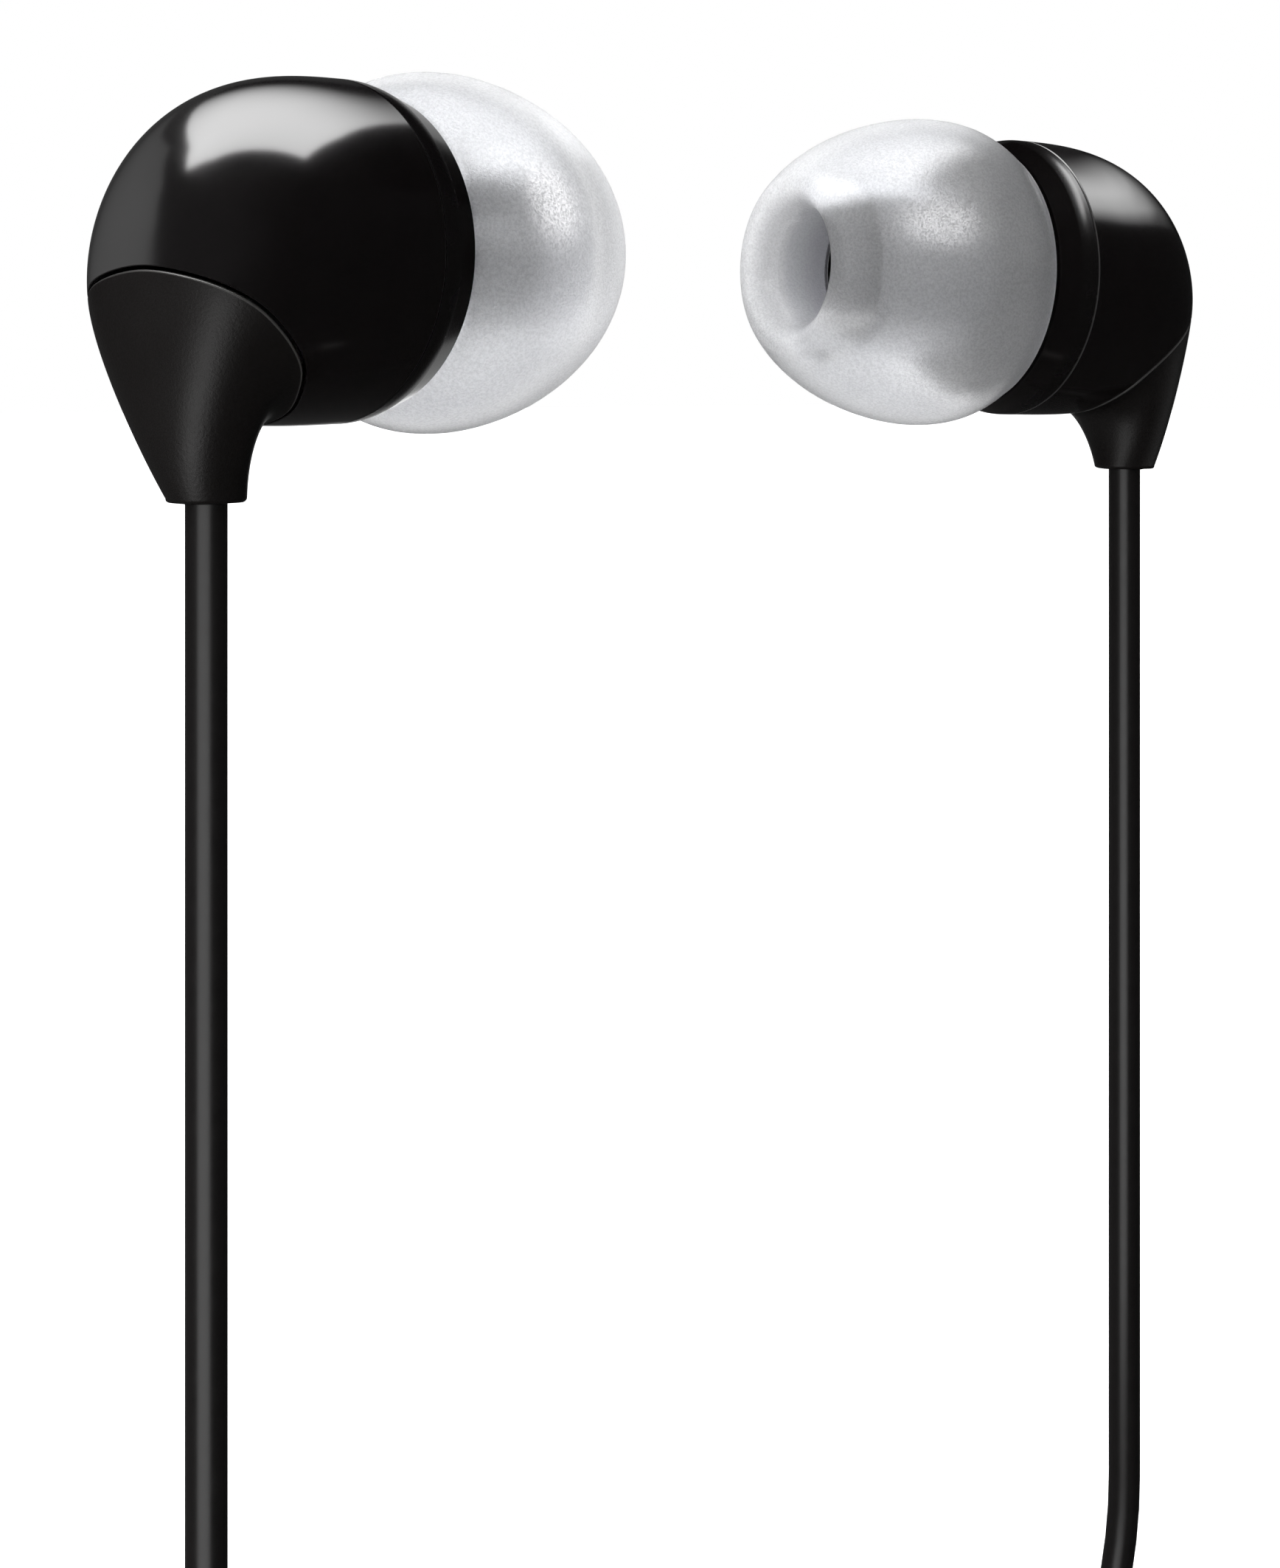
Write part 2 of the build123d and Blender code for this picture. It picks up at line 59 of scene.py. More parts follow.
class EARPHONES_PG_bud(bpy.types.PropertyGroup):
    """Sizes of one earbud, along and around its sound axis."""

    half_spacing: bpy.props.FloatProperty(
        name="Half spacing", description="From the middle to a seam", default=0.0171, unit="LENGTH"
    )
    toe_in: bpy.props.FloatProperty(
        name="Toe-in",
        description="Turn of the sound axis forwards",
        default=math.radians(9.5),
        unit="ROTATION",
    )
    nose_up: bpy.props.FloatProperty(
        name="Nose up",
        description="Tilt of the sound axis upwards",
        default=math.radians(1.4),
        unit="ROTATION",
    )
    radius: bpy.props.FloatProperty(
        name="Housing radius", description="Radius at the seam", default=0.0058, unit="LENGTH"
    )
    depth: bpy.props.FloatProperty(
        name="Dome depth", description="From the seam to the crown", default=0.00784, unit="LENGTH"
    )
    squareness: bpy.props.FloatProperty(
        name="Dome squareness", description="2 is an ellipse, more is squarer", default=2.84, min=2.0
    )
    drop: bpy.props.FloatProperty(
        name="Crown drop",
        description="How far the crown lies below the sound axis",
        default=0.00292,
        unit="LENGTH",
    )
    edge: bpy.props.FloatProperty(
        name="Edge rounding", description="Rounding of the moulded edges", default=0.00006, unit="LENGTH"
    )


class EARPHONES_PG_tip(bpy.types.PropertyGroup):
    """Sizes of one silicone ear tip, along and around the sound axis."""

    radius: bpy.props.FloatProperty(
        name="Radius", description="Radius at the widest place", default=0.006315, unit="LENGTH"
    )
    widest: bpy.props.FloatProperty(
        name="Widest place", description="From the seam", default=0.00499, unit="LENGTH"
    )
    rim: bpy.props.FloatProperty(
        name="Rear rim", description="Middle of the rear rim, from the seam", default=0.00205, unit="LENGTH"
    )
    rim_radius: bpy.props.FloatProperty(
        name="Rim radius", description="Outer radius of the rear rim", default=0.0055, unit="LENGTH"
    )
    rim_thickness: bpy.props.FloatProperty(
        name="Rim thickness", description="Thickness of the rounded rear rim", default=0.0004, unit="LENGTH"
    )
    nose: bpy.props.FloatProperty(
        name="Nose",
        description="From the widest place to where the outline would close",
        default=0.00741,
        unit="LENGTH",
    )
    lip: bpy.props.FloatProperty(
        name="Lip",
        description="Where the outline begins to roll into the sound hole, from the seam",
        default=0.011,
        unit="LENGTH",
    )
    front: bpy.props.FloatProperty(
        name="Sound hole", description="Edge of the sound hole, from the seam", default=0.01015, unit="LENGTH"
    )
    hole: bpy.props.FloatProperty(
        name="Hole radius", description="Radius of the sound hole", default=0.00236, unit="LENGTH"
    )
    wall: bpy.props.FloatProperty(
        name="Wall", description="Thickness of the skirt", default=0.0005, unit="LENGTH"
    )


class EARPHONES_PG_cord(bpy.types.PropertyGroup):
    """Sizes of the cable."""

    branch: bpy.props.FloatProperty(
        name="Branch cord", description="Diameter of each earbud's cord", default=0.00135, unit="LENGTH"
    )
    main: bpy.props.FloatProperty(
        name="Main cord", description="Diameter of the cord to the plug", default=0.0018, unit="LENGTH"
    )
    points_per_turn: bpy.props.IntProperty(
        name="Points per turn", description="Control points in one turn of the coil", default=24, min=12
    )


class EARPHONES_PG_finish(bpy.types.PropertyGroup):
    """Colours of the main finishes."""

    shell: bpy.props.FloatVectorProperty(
        name="Shell", description="Polished housing", default=(0.0020, 0.0016, 0.0017), subtype="COLOR"
    )
    relief: bpy.props.FloatVectorProperty(
        name="Strain relief", description="Matt moulding", default=(0.0035, 0.0025, 0.0023), subtype="COLOR"
    )
    silicone: bpy.props.FloatVectorProperty(
        name="Silicone", description="Ear tips", default=(0.80, 0.805, 0.82), subtype="COLOR"
    )
    # the colour of the painted shade in the ear tips' bores and round their holes
    bore: bpy.props.FloatVectorProperty(
        name="Bore", description="Depths of the ear tips' bores", default=(0.09, 0.09, 0.10), subtype="COLOR"
    )
    jacket: bpy.props.FloatVectorProperty(
        name="Cord jacket", description="Cable jacket", default=(0.0040, 0.0034, 0.0034), subtype="COLOR"
    )


class EARPHONES_PG_stage(bpy.types.PropertyGroup):
    """Camera, lamps and floor."""

    lens: bpy.props.FloatProperty(name="Lens", description="Focal length in millimetres", default=57.18)
    eye: bpy.props.FloatVectorProperty(
        name="Camera place",
        description="Where the camera stands",
        default=(-0.06271, -0.07081, -0.00418),
        subtype="XYZ",
    )
    heading: bpy.props.FloatProperty(
        name="Heading",
        description="Turn of the camera from +Y towards +X",
        default=math.radians(40.01),
        unit="ROTATION",
    )
    rise: bpy.props.FloatProperty(
        name="Vertical shift", description="The camera's vertical shift", default=-0.260
    )
    sky: bpy.props.FloatProperty(
        name="Ambient light", description="Level of the light all round", default=0.55
    )


# ---------------------------------------------------------------- shader expressions


class Wire:
    """One output of a material's nodes, used in sums and products like a number."""

    def __init__(self, finish, socket):
        self.finish = finish
        self.socket = socket

    def _math(self, operation, first, second):
        return self.finish.node("ShaderNodeMath", {"operation": operation}, {0: first, 1: second})

    def __add__(self, other):
        return self._math("ADD", self, other)

    def __radd__(self, other):
        return self._math("ADD", other, self)

    def __sub__(self, other):
        return self._math("SUBTRACT", self, other)

    def __rsub__(self, other):
        return self._math("SUBTRACT", other, self)

    def __mul__(self, other):
        return self._math("MULTIPLY", self, other)

    def __rmul__(self, other):
        return self._math("MULTIPLY", other, self)

    def clamped(self):
        """Held between 0 and 1."""
        return self.finish.node("ShaderNodeClamp", {}, {"Value": self})

    def over(self, low, high):
        """0 below low, 1 above high, smooth between."""
        settings = {"interpolation_type": "SMOOTHSTEP"}
        return self.finish.node("ShaderNodeMapRange", settings, {"Value": self, 1: low, 2: high})


class Finish:
    """A material under construction. Its node method adds any node and hands back an output."""

    def __init__(self, name, owner=None):
        self.owner = owner or bpy.data.materials.new(name)
        self.owner.use_nodes = True
        self.tree = self.owner.node_tree
        self.tree.nodes.clear()

    def node(self, kind, settings, inputs, output=0):
        """Adds a node of that kind, its settings first, then the values or links of its sockets."""
        made = self.tree.nodes.new(kind)
        for name, value in settings.items():
            setattr(made, name, value)
        for name, value in inputs.items():
            socket = made.inputs[name]
            if isinstance(value, Wire):
                self.tree.links.new(value.socket, socket)
            else:
                socket.default_value = value
        return Wire(self, made.outputs[output])

    def place(self):
        """The point on the piece, in metres."""
        return self.node("ShaderNodeTexCoord", {}, {}, "Object")

    def noise(self, scale, detail=2.0, roughness=0.5):
        """Even noise between 0 and 1, so many to the metre."""
        inputs = {"Vector": self.place(), "Scale": scale, "Detail": detail, "Roughness": roughness}
        return self.node("ShaderNodeTexNoise", {}, inputs)

    def mix(self, factor, first, second):
        """From one colour to another."""
        sockets = {0: factor, 6: first, 7: second}
        return self.node("ShaderNodeMix", {"data_type": "RGBA"}, sockets, 2)

    def bump(self, height, distance, strength=1.0):
        """A Normal output from a height."""
        return self.node("ShaderNodeBump", {}, {"Height": height, "Distance": distance, "Strength": strength})

    def surface(self, inputs):
        """The principled surface, joined to the output."""
        self.output(self.node("ShaderNodeBsdfPrincipled", {}, inputs))
        return self.owner

    def output(self, shader, kind="ShaderNodeOutputMaterial"):
        """Joins a shader to the output of a material or a world."""
        self.tree.links.new(shader.socket, self.tree.nodes.new(kind).inputs["Surface"])


def shade(colour, factor=1.0):
    """A colour, darker or lighter by a factor, as a node takes it."""
    return (*(min(1.0, c * factor) for c in colour), 1.0)


# ---------------------------------------------------------------- finishes


def polished_black(name, colour, rough=0.13):
    """Polished black plastic: faint flow marks, and a little haze that varies over it."""
    finish = Finish(name)
    haze = finish.noise(900.0, detail=3.0)
    flow = finish.noise(220.0, detail=1.0)
    return finish.surface(
        {
            "Base Color": finish.mix(haze, shade(colour), shade(colour, 1.5)),
            "Roughness": rough + haze * 0.04,
            "IOR": 1.6,
            "Normal": finish.bump(flow, 0.000004, 0.25),
        }
    )


def matt_moulding(name, colour, grain=9000.0, rough=0.45, depth=0.000016):
    """Soft-touch moulding with a fine even grain."""
    finish = Finish(name)
    fine = finish.noise(grain, roughness=0.7)
    cloud = finish.noise(500.0)
    return finish.surface(
        {
            "Base Color": finish.mix(fine * 0.7 + cloud * 0.3, shade(colour, 0.75), shade(colour, 1.35)),
            "Roughness": rough - 0.06 + cloud * 0.12,
            "Normal": finish.bump(fine, depth, 0.6),
        }
    )


def frosted_silicone(name, colour, painted_shade, inner_painted_shade=0.0, clear=0.86):
    """Translucent silicone with a sparkling grain, and painted shade that darkens it round the hole and
    further in.

    It reads the piece's outline layer, which holds millimetres along the sound axis and out from it."""
    finish = Finish(name)
    sparkle = finish.noise(10000.0, roughness=0.8)
    outline = finish.node("ShaderNodeTexCoord", {}, {}, "UV")
    along, radius = (finish.node("ShaderNodeSeparateXYZ", {}, {"Vector": outline}, axis) for axis in "XY")
    # painted shade: darker round the sound hole and further into the bore
    hole_shade_mask = 1.0 - radius.over(2.36, 3.1)
    inner_shade_mask = 1.0 - along.over(7.9, 10.4)
    grain = sparkle.over(0.3, 0.7) * 0.8 + finish.noise(300.0) * 0.2
    pale = finish.mix(grain, shade(colour, 0.76), shade(colour, 1.18))
    return finish.surface(
        {
            "Base Color": finish.mix(0.69 * hole_shade_mask + inner_painted_shade * inner_shade_mask, pale, shade(painted_shade)),
            "Roughness": 0.44 + sparkle * 0.16,
            "IOR": 1.14,
            "Transmission Weight": clear,
            "Coat Weight": 0.25 + 0.75 * sparkle.over(0.35, 0.65),
            "Coat Roughness": 0.32,
            "Coat IOR": 1.45,
            "Normal": finish.bump(sparkle, 0.00005, 0.9),
        }
    )


def clear_silicone(name, colour):
    """The smooth inner faces of a silicone tip, which barely bend the light."""
    finish = Finish(name)
    cloud = finish.noise(600.0)
    return finish.surface(
        {
            "Base Color": finish.mix(cloud, shade(colour, 0.95), shade(colour, 1.1)),
            "Roughness": 0.2 + cloud * 0.1,
            "IOR": 1.05,
            "Transmission Weight": 0.95,
        }
    )


def satin_jacket(name, colour):
    """Extruded cable jacket: satin, with faint waves along it."""
    finish = Finish(name)
    waves = finish.noise(1500.0)
    return finish.surface(
        {
            "Base Color": finish.mix(waves, shade(colour), shade(colour, 1.4)),
            "Roughness": 0.30 + waves * 0.10,
            "IOR": 1.5,
            "Normal": finish.bump(waves, 0.000006, 0.3),
        }
    )


def plated_metal(name, colour, rough=0.28):
    """Plated metal with fine turning marks and patches of wear."""
    finish = Finish(name)
    wear_and_edge_highlight = finish.noise(1200.0, detail=3.0)
    marks = finish.noise(6000.0, detail=1.0)
    return finish.surface(
        {
            "Base Color": finish.mix(wear_and_edge_highlight, shade(colour), shade(colour, 0.82)),
            "Metallic": 1.0,
            "Roughness": rough + wear_and_edge_highlight * 0.12,
            "Normal": finish.bump(marks, 0.000003, 0.3),
        }
    )


def woven_steel(name, dark, bright, pitch=2200.0):
    """Fine woven steel, dark between its wires."""
    finish = Finish(name)
    rows, columns = (
        finish.node(
            "ShaderNodeTexWave",
            {"wave_type": "BANDS", "bands_direction": axis},
            {"Vector": finish.place(), "Scale": pitch},
        )
        for axis in "YZ"
    )
    weave = rows * columns
    return finish.surface(
        {
            "Base Color": finish.mix(weave, shade(dark), shade(bright)),
            "Metallic": 1.0,
            "Roughness": 0.5 - weave * 0.2,
            "Normal": finish.bump(weave, 0.00003),
        }
    )


def soft_matter(name, colour, grain, rough=0.85):
    """Felt, foam, film or laminate: matt, with its own grain."""
    finish = Finish(name)
    fibres = finish.noise(grain, detail=4.0, roughness=0.7)
    return finish.surface(
        {
            "Base Color": finish.mix(fibres, shade(colour, 0.8), shade(colour, 1.15)),
            "Roughness": rough,
            "Normal": finish.bump(fibres, 0.00002, 0.7),
        }
    )


def dress(node, material):
    """Gives a carried-over CAD node its finish."""
    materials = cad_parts[node].data.materials
    materials.clear()
    materials.append(material)


def both(name):
    """A piece's name on either side."""
    return [side + "_" + name for side in SIDES]


# ---------------------------------------------------------------- camera, lamps, floor


def stage_point(right, ahead, up, stage):
    """A point given from the middle of the earbuds along the camera's own directions."""
    turn = stage.heading
    across = Vector((math.cos(turn), -math.sin(turn), 0.0))
    along = Vector((math.sin(turn), math.cos(turn), 0.0))
    return across * right + along * ahead + Vector((0.0, 0.0, up))


def shows_in(light, pieces):
    """Keeps a light to some pieces, and off everything but their gloss."""
    linked = bpy.data.collections.new(light.name + " shows in")
    for piece in pieces:
        linked.objects.link(bpy.data.objects[piece])
    light.light_linking.receiver_collection = linked
    light.visible_camera = False
    light.visible_diffuse = False
    light.visible_transmission = False


def glowing_card(name, rows, level, fade, pieces):
    """A soft box's bright face as it shows in the gloss of some pieces.

    Rows of points make its surface, each point with its place between 0, bright, and 1, dark.
    Its light falls away smoothly between the two places in fade."""
    across = len(rows[0])
    points = [point for row in rows for point, _ in row]
    places = [place for row in rows for _, place in row]
    faces = []
    for k in range(len(rows) - 1):
        for j in range(across - 1):
            first = k * across + j
            faces.append((first, first + 1, first + across + 1, first + across))
    mesh = bpy.data.meshes.new(name)
    mesh.from_pydata(points, [], faces)
    layer = mesh.uv_layers.new(name="place")
    for spot, loop in zip(layer.data, mesh.loops):
        spot.uv = (0.0, places[loop.vertex_index])
    finish = Finish(name)
    uv = finish.node("ShaderNodeTexCoord", {}, {}, "UV")
    place = finish.node("ShaderNodeSeparateXYZ", {}, {"Vector": uv}, "Y")
    glow = (1.0 - place.over(*fade)) * level
    finish.output(finish.node("ShaderNodeEmission", {}, {"Color": (1, 1, 1, 1), "Strength": glow}))
    mesh.materials.append(finish.owner)
    card = bpy.data.objects.new(name, mesh)
    bpy.context.scene.collection.objects.link(card)
    card.visible_shadow = False
    shows_in(card, pieces)


def area_lamp(name, size, energy, shape="RECTANGLE"):
    """A flat lamp, still to be placed."""
    lamp = bpy.data.lights.new(name, "AREA")
    lamp.shape = shape
    lamp.size, lamp.size_y = size
    lamp.energy = energy
    holder = bpy.data.objects.new(name, lamp)
    bpy.context.scene.collection.objects.link(holder)
    return holder


def glint(name, centre, way, along, size, level, pieces, shape="RECTANGLE"):
    """A lamp that shows only as a highlight, so bright and so far from a centre, its long side along."""
    area = size[0] * size[1] * (math.pi / 4 if shape == "ELLIPSE" else 1.0)
    lamp = area_lamp(name, size, level * math.pi * area, shape)
    toward = way.normalized()
    long_side = (along - toward * along.dot(toward)).normalized()
    turn = Matrix((long_side, toward.cross(long_side), toward)).transposed()
    lamp.matrix_world = Matrix.Translation(centre + way) @ turn.to_4x4()
    shows_in(lamp, pieces)


def soft_box(name, place, target, size, watts):
    """A lamp that lights the object from a place and leaves its gloss to the cards and glints."""
    lamp = area_lamp(name, size, watts)
    lamp.location = place
    lamp.rotation_euler = (Vector(target) - place).to_track_quat("-Z", "Y").to_euler()
    lamp.visible_camera = False
    lamp.visible_glossy = False


def sky(level, heading):
    """White for the camera and behind the object; elsewhere a plain level, dim to gloss, pale to silicone."""
    world = bpy.data.worlds.new("studio")
    bpy.context.scene.world = world
    finish = Finish("studio", owner=world)
    rays = finish.node("ShaderNodeLightPath", {}, {}).socket.node.outputs
    camera, gloss, depth = (
        Wire(finish, rays[name]) for name in ("Is Camera Ray", "Is Glossy Ray", "Transmission Depth")
    )
    through = depth.clamped()
    gloss = gloss * (1.0 - through)
    ahead = (math.sin(heading), math.cos(heading), 0.0)
    left = (-math.cos(heading), math.sin(heading), 0.0)
    way = finish.node("ShaderNodeTexCoord", {}, {}, "Generated")
    facing, aside = (
        finish.node("ShaderNodeVectorMath", {"operation": "DOT_PRODUCT"}, {0: way, 1: axis}, "Value")
        for axis in (ahead, left)
    )
    shown = (camera + facing.over(0.97, 0.995) * gloss).clamped()
    in_gloss = 0.015 + 0.07 * aside.over(-0.5, 0.8)
    in_silicone = 0.6 + 0.42 * facing.over(-0.4, 0.9)
    rest = gloss * in_gloss + (1.0 - gloss) * (through * in_silicone + (1.0 - through) * level)
    strength = shown + (1.0 - shown) * rest
    backdrop = finish.node("ShaderNodeBackground", {}, {"Color": (1, 1, 1, 1), "Strength": strength})
    finish.output(backdrop, "ShaderNodeOutputWorld")


class EARPHONES_OT_stage(bpy.types.Operator):
    """Sets up the camera, the soft boxes, the backdrop and the pale floor"""

    bl_idname = "earphones.stage"
    bl_label = "Stage"

    def execute(self, context):
        stage = context.scene.earphones_stage
        lens = bpy.data.cameras.new("camera")
        lens.lens = stage.lens
        lens.sensor_width = 36.0
        lens.shift_y = stage.rise
        lens.clip_start = 0.001
        camera = bpy.data.objects.new("camera", lens)
        camera.location = stage.eye
        camera.rotation_euler = (math.radians(90), 0.0, -stage.heading)
        context.scene.collection.objects.link(camera)
        context.scene.camera = camera
        sky(stage.sky, stage.heading)
        self.floor(context)
        soft_box("overhead box", stage_point(-0.1, 0.1, 0.6, stage), (0, 0, 0), (0.8, 0.6), 5.0)
        soft_box("front box", stage_point(-0.25, -0.5, 0.15, stage), (0, 0, -0.01), (0.5, 0.5), 2.5)
        context.scene.view_settings.view_transform = "Standard"
        return {"FINISHED"}

    def floor(self, context, half_width=4.0, gap=0.0002):
        """A pale tabletop, white to the camera apart from the object's shadow."""
        mesh = bpy.data.meshes.new("floor")
        corners = [(-1, -1), (1, -1), (1, 1), (-1, 1)]
        points = [(x * half_width, y * half_width, SURFACE - gap) for x, y in corners]
        mesh.from_pydata(points, [], [(0, 1, 2, 3)])
        finish = Finish("floor")
        rays = finish.node("ShaderNodeLightPath", {}, {}).socket.node.outputs
        camera, through = (Wire(finish, rays[name]) for name in ("Is Camera Ray", "Is Transmission Ray"))
        pale = finish.mix(finish.noise(60.0), shade((0.86, 0.86, 0.86)), shade((0.90, 0.90, 0.90)))
        plain = finish.node("ShaderNodeBsdfDiffuse", {}, {"Color": pale})
        out = finish.node("ShaderNodeVectorMath", {"operation": "LENGTH"}, {0: finish.place()}, "Value")
        level = 0.4 + 0.6 * out.over(0.10, 0.35) + 0.4 * through
        glow = finish.node("ShaderNodeEmission", {}, {"Color": (1, 1, 1, 1), "Strength": level})
        white = finish.node("ShaderNodeAddShader", {}, {0: plain, 1: glow})
        seen = (camera + through).clamped()
        finish.output(finish.node("ShaderNodeMixShader", {}, {0: seen, 1: plain, 2: white}))
        mesh.materials.append(finish.owner)
        floor = bpy.data.objects.new("floor", mesh)
        context.scene.collection.objects.link(floor)
        floor.visible_glossy = False


class EARPHONES_OT_highlights(bpy.types.Operator):
    """Sets the bright faces of the soft boxes that show in the gloss, each where the finish takes it up"""

    bl_idname = "earphones.highlights"
    bl_label = "Highlights"

    # rows of directions from an earbud, as (right, ahead, up, place)
    overhead = [
        [(-1.30, -0.16, 1, 0), (-0.78, -0.30, 1, 0), (-0.14, -0.345, 1, 0), (0.41, -0.355, 1, 0)],
        [(-0.98, 0.10, 1, 0.2), (-0.45, 0.10, 1, 0.2), (0.05, 0.11, 1, 0.2), (0.53, 0.12, 1, 0.2)],
        [(-0.68, 0.99, 1, 0.6), (-0.28, 0.96, 1, 0.6), (0.15, 0.92, 1, 0.6), (0.56, 0.88, 1, 0.6)],
        [(-0.47, 1.67, 1, 1), (-0.10, 1.75, 1, 1), (0.25, 1.83, 1, 1), (0.60, 1.90, 1, 1)],
    ]
    side = [
        [
            (-0.99, -0.03, -0.05, 0), (-0.99, -0.03, 0.13, 0), (-0.96, -0.03, 0.29, 0),
            (-0.88, 0.04, 0.47, 0.2), (-0.74, 0.26, 0.62, 0.5),
        ],
        [
            (-0.92, 0.30, -0.05, 0.4), (-0.95, 0.30, 0.12, 0.4), (-0.90, 0.32, 0.25, 0.4),
            (-0.80, 0.40, 0.40, 0.5), (-0.62, 0.55, 0.55, 0.7),
        ],
        [
            (-0.60, 0.80, -0.05, 1), (-0.60, 0.80, 0.10, 1), (-0.58, 0.78, 0.20, 1),
            (-0.52, 0.77, 0.33, 1), (-0.40, 0.78, 0.48, 1),
        ],
    ]
    far = [
        [
            (0.80, -0.16, 0.60, 0.8), (0.82, -0.09, 0.56, 0.8), (0.85, -0.03, 0.52, 0.8),
            (0.86, 0.08, 0.50, 0.8), (0.85, 0.26, 0.46, 0.85), (0.75, 0.56, 0.36, 0.9),
            (0.45, 0.88, 0.15, 1),
        ],
        [
            (0.70, -0.08, 0.70, 0.3), (0.73, -0.01, 0.66, 0.3), (0.77, 0.08, 0.61, 0.35),
            (0.77, 0.22, 0.57, 0.45), (0.74, 0.40, 0.51, 0.6), (0.63, 0.65, 0.40, 0.85),
            (0.42, 0.89, 0.18, 1),
        ],
        [
            (0.60, 0.00, 0.80, 0.15), (0.64, 0.08, 0.76, 0.15), (0.68, 0.20, 0.70, 0.2),
            (0.68, 0.36, 0.64, 0.4), (0.62, 0.54, 0.56, 0.65), (0.50, 0.74, 0.44, 0.85),
            (0.38, 0.90, 0.22, 1),
        ],
        [
            (0.52, 0.25, 0.80, 0.65), (0.52, 0.35, 0.77, 0.65), (0.50, 0.48, 0.72, 0.65),
            (0.44, 0.66, 0.60, 0.75), (0.38, 0.80, 0.46, 0.85), (0.30, 0.88, 0.36, 0.95),
            (0.25, 0.95, 0.20, 1),
        ],
        [
            (0.40, 0.50, 0.78, 0.95), (0.38, 0.58, 0.72, 0.95), (0.36, 0.68, 0.64, 0.95),
            (0.32, 0.78, 0.53, 0.95), (0.28, 0.86, 0.42, 0.97), (0.24, 0.92, 0.32, 1),
            (0.20, 0.97, 0.16, 1),
        ],
    ]

    def execute(self, context):
        self.stage = context.scene.earphones_stage
        left, right = (self.middle(side + "_rear_cap") for side in SIDES)
        self.cards(left, right)
        self.bud_glints(left, right)
        self.cable_glints()
        return {"FINISHED"}

    def at(self, right, ahead, up):
        """A direction or distance along the camera's own directions."""
        return stage_point(right, ahead, up, self.stage)

    def middle(self, node):
        """The middle of a node's box."""
        low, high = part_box(node)
        return (Vector(low) + Vector(high)) / 2

    def cards(self, left, right):
        """The graded faces, in the polished caps and along the necks."""
        caps, necks = both("dome"), both("neck")
        reach = 0.45
        self.face("overhead face", left, reach, self.overhead, 10.0, (0.05, 0.75), caps + necks)
        self.face("side face", left, reach, self.side, 0.92, (-0.2, 1.3), caps[:1])
        self.face("far face", right, reach, self.far, 6.2, (0.0, 1.0), caps[1:])
        low = []
        for fall in (-3, -38):
            up = math.tan(math.radians(fall))
            turns = (math.radians(turn) for turn in (-46, -39, -33, -27, -20))
            low.append([(math.sin(turn), -math.cos(turn), up, 0) for turn in turns])
        self.face("low face", Vector((0.0, 0.0, 0.0)), 0.13, low, 2.6, (1.0, 2.0), necks)

    def face(self, name, centre, reach, rows, level, fade, pieces):
        """A card whose rows are directions from a centre, so far away."""
        placed = []
        for row in rows:
            placed.append([(centre + self.at(x, y, z) * reach, place) for x, y, z, place in row])
        glowing_card(name, placed, level, fade, pieces)

    def bud_glints(self, left, right):
        """Highlights in the bevelled rings, the right neck and the silicone."""
        at, across, upright = self.at, self.at(1, 0, 0), self.at(0, 0, 1)
        necks, shells, tips = both("neck"), both("front"), both("silicone_tip")
        band_way, band_run = at(0.18, 0.024, 0.237), at(0.36, -0.84, -0.10)
        glint("band glint", right, band_way, band_run, (0.30, 0.07), 7.5, shells[1:], "ELLIPSE")
        glint("relief glint", right, at(0.45, 0, 0), upright, (0.4, 0.5), 0.35, necks[1:])
        glint("rear glint", left, at(0.09, 0.42, 0), across, (0.31, 0.5), 0.5, shells[:1])
        glint("left glint", left, at(0.23, 0.035, 0.1), upright, (0.15, 0.15), 18.0, tips[:1], "ELLIPSE")
        glint("right glint", right, at(0.10, -0.18, 0.14), upright, (0.14, 0.14), 21.0, tips[1:], "ELLIPSE")
        glint("streak", right, at(0.05, -0.01, 0.24), at(0.41, 0.92, -0.07), (0.28, 0.045), 8.0, tips[1:])
        glint("crescent", right, at(0.007, 0.004, -0.055), at(0.45, 1.0, 0.2), (0.06, 0.011), 9.0, tips[1:])

    def cable_glints(self):
        """Highlights along the cords, on the splitter and plug, and all round the plug's metal."""
        at, across = self.at, self.at(1, 0, 0)
        branches = both("branch")
        plug = [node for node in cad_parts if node.startswith(("plug", "splitter"))]
        metal = [node for node in plug if node.endswith("contact")]
        below, tabletop = Vector((0.0, 0.0, -0.065)), Vector((0.0, 0.0, SURFACE))
        glint("cord glint", below, at(-0.02, -0.1, 0), across, (0.11, 0.13), 2.1, branches)
        glint("plug glint", tabletop, at(-0.15, 0.1, 0.5), across, (0.5, 0.3), 1.5, plug)
        glint("front metal glint", tabletop, at(-0.2, -0.5, 0.3), across, (0.6, 0.3), 1.5, metal)
        glint("back metal glint", tabletop, at(0.2, 0.5, 0.3), across, (0.6, 0.3), 1.5, metal)
        glint("top metal glint", tabletop, at(0.1, 0, 0.6), across, (0.6, 0.3), 1.5, metal)
        glint("low metal glint", tabletop, at(0, 0, -0.25), across, (0.9, 0.9), 0.8, metal)


# ---------------------------------------------------------------- cable, in millimetres

COIL_MIDDLE = -16.0  # the coils' middle lies this far along Y


def on_coil(radius, azimuth, height):
    """A point on a turn of the coil, angle in degrees."""
    angle = math.radians(azimuth)
    return (radius * math.cos(angle), COIL_MIDDLE + radius * math.sin(angle), height)


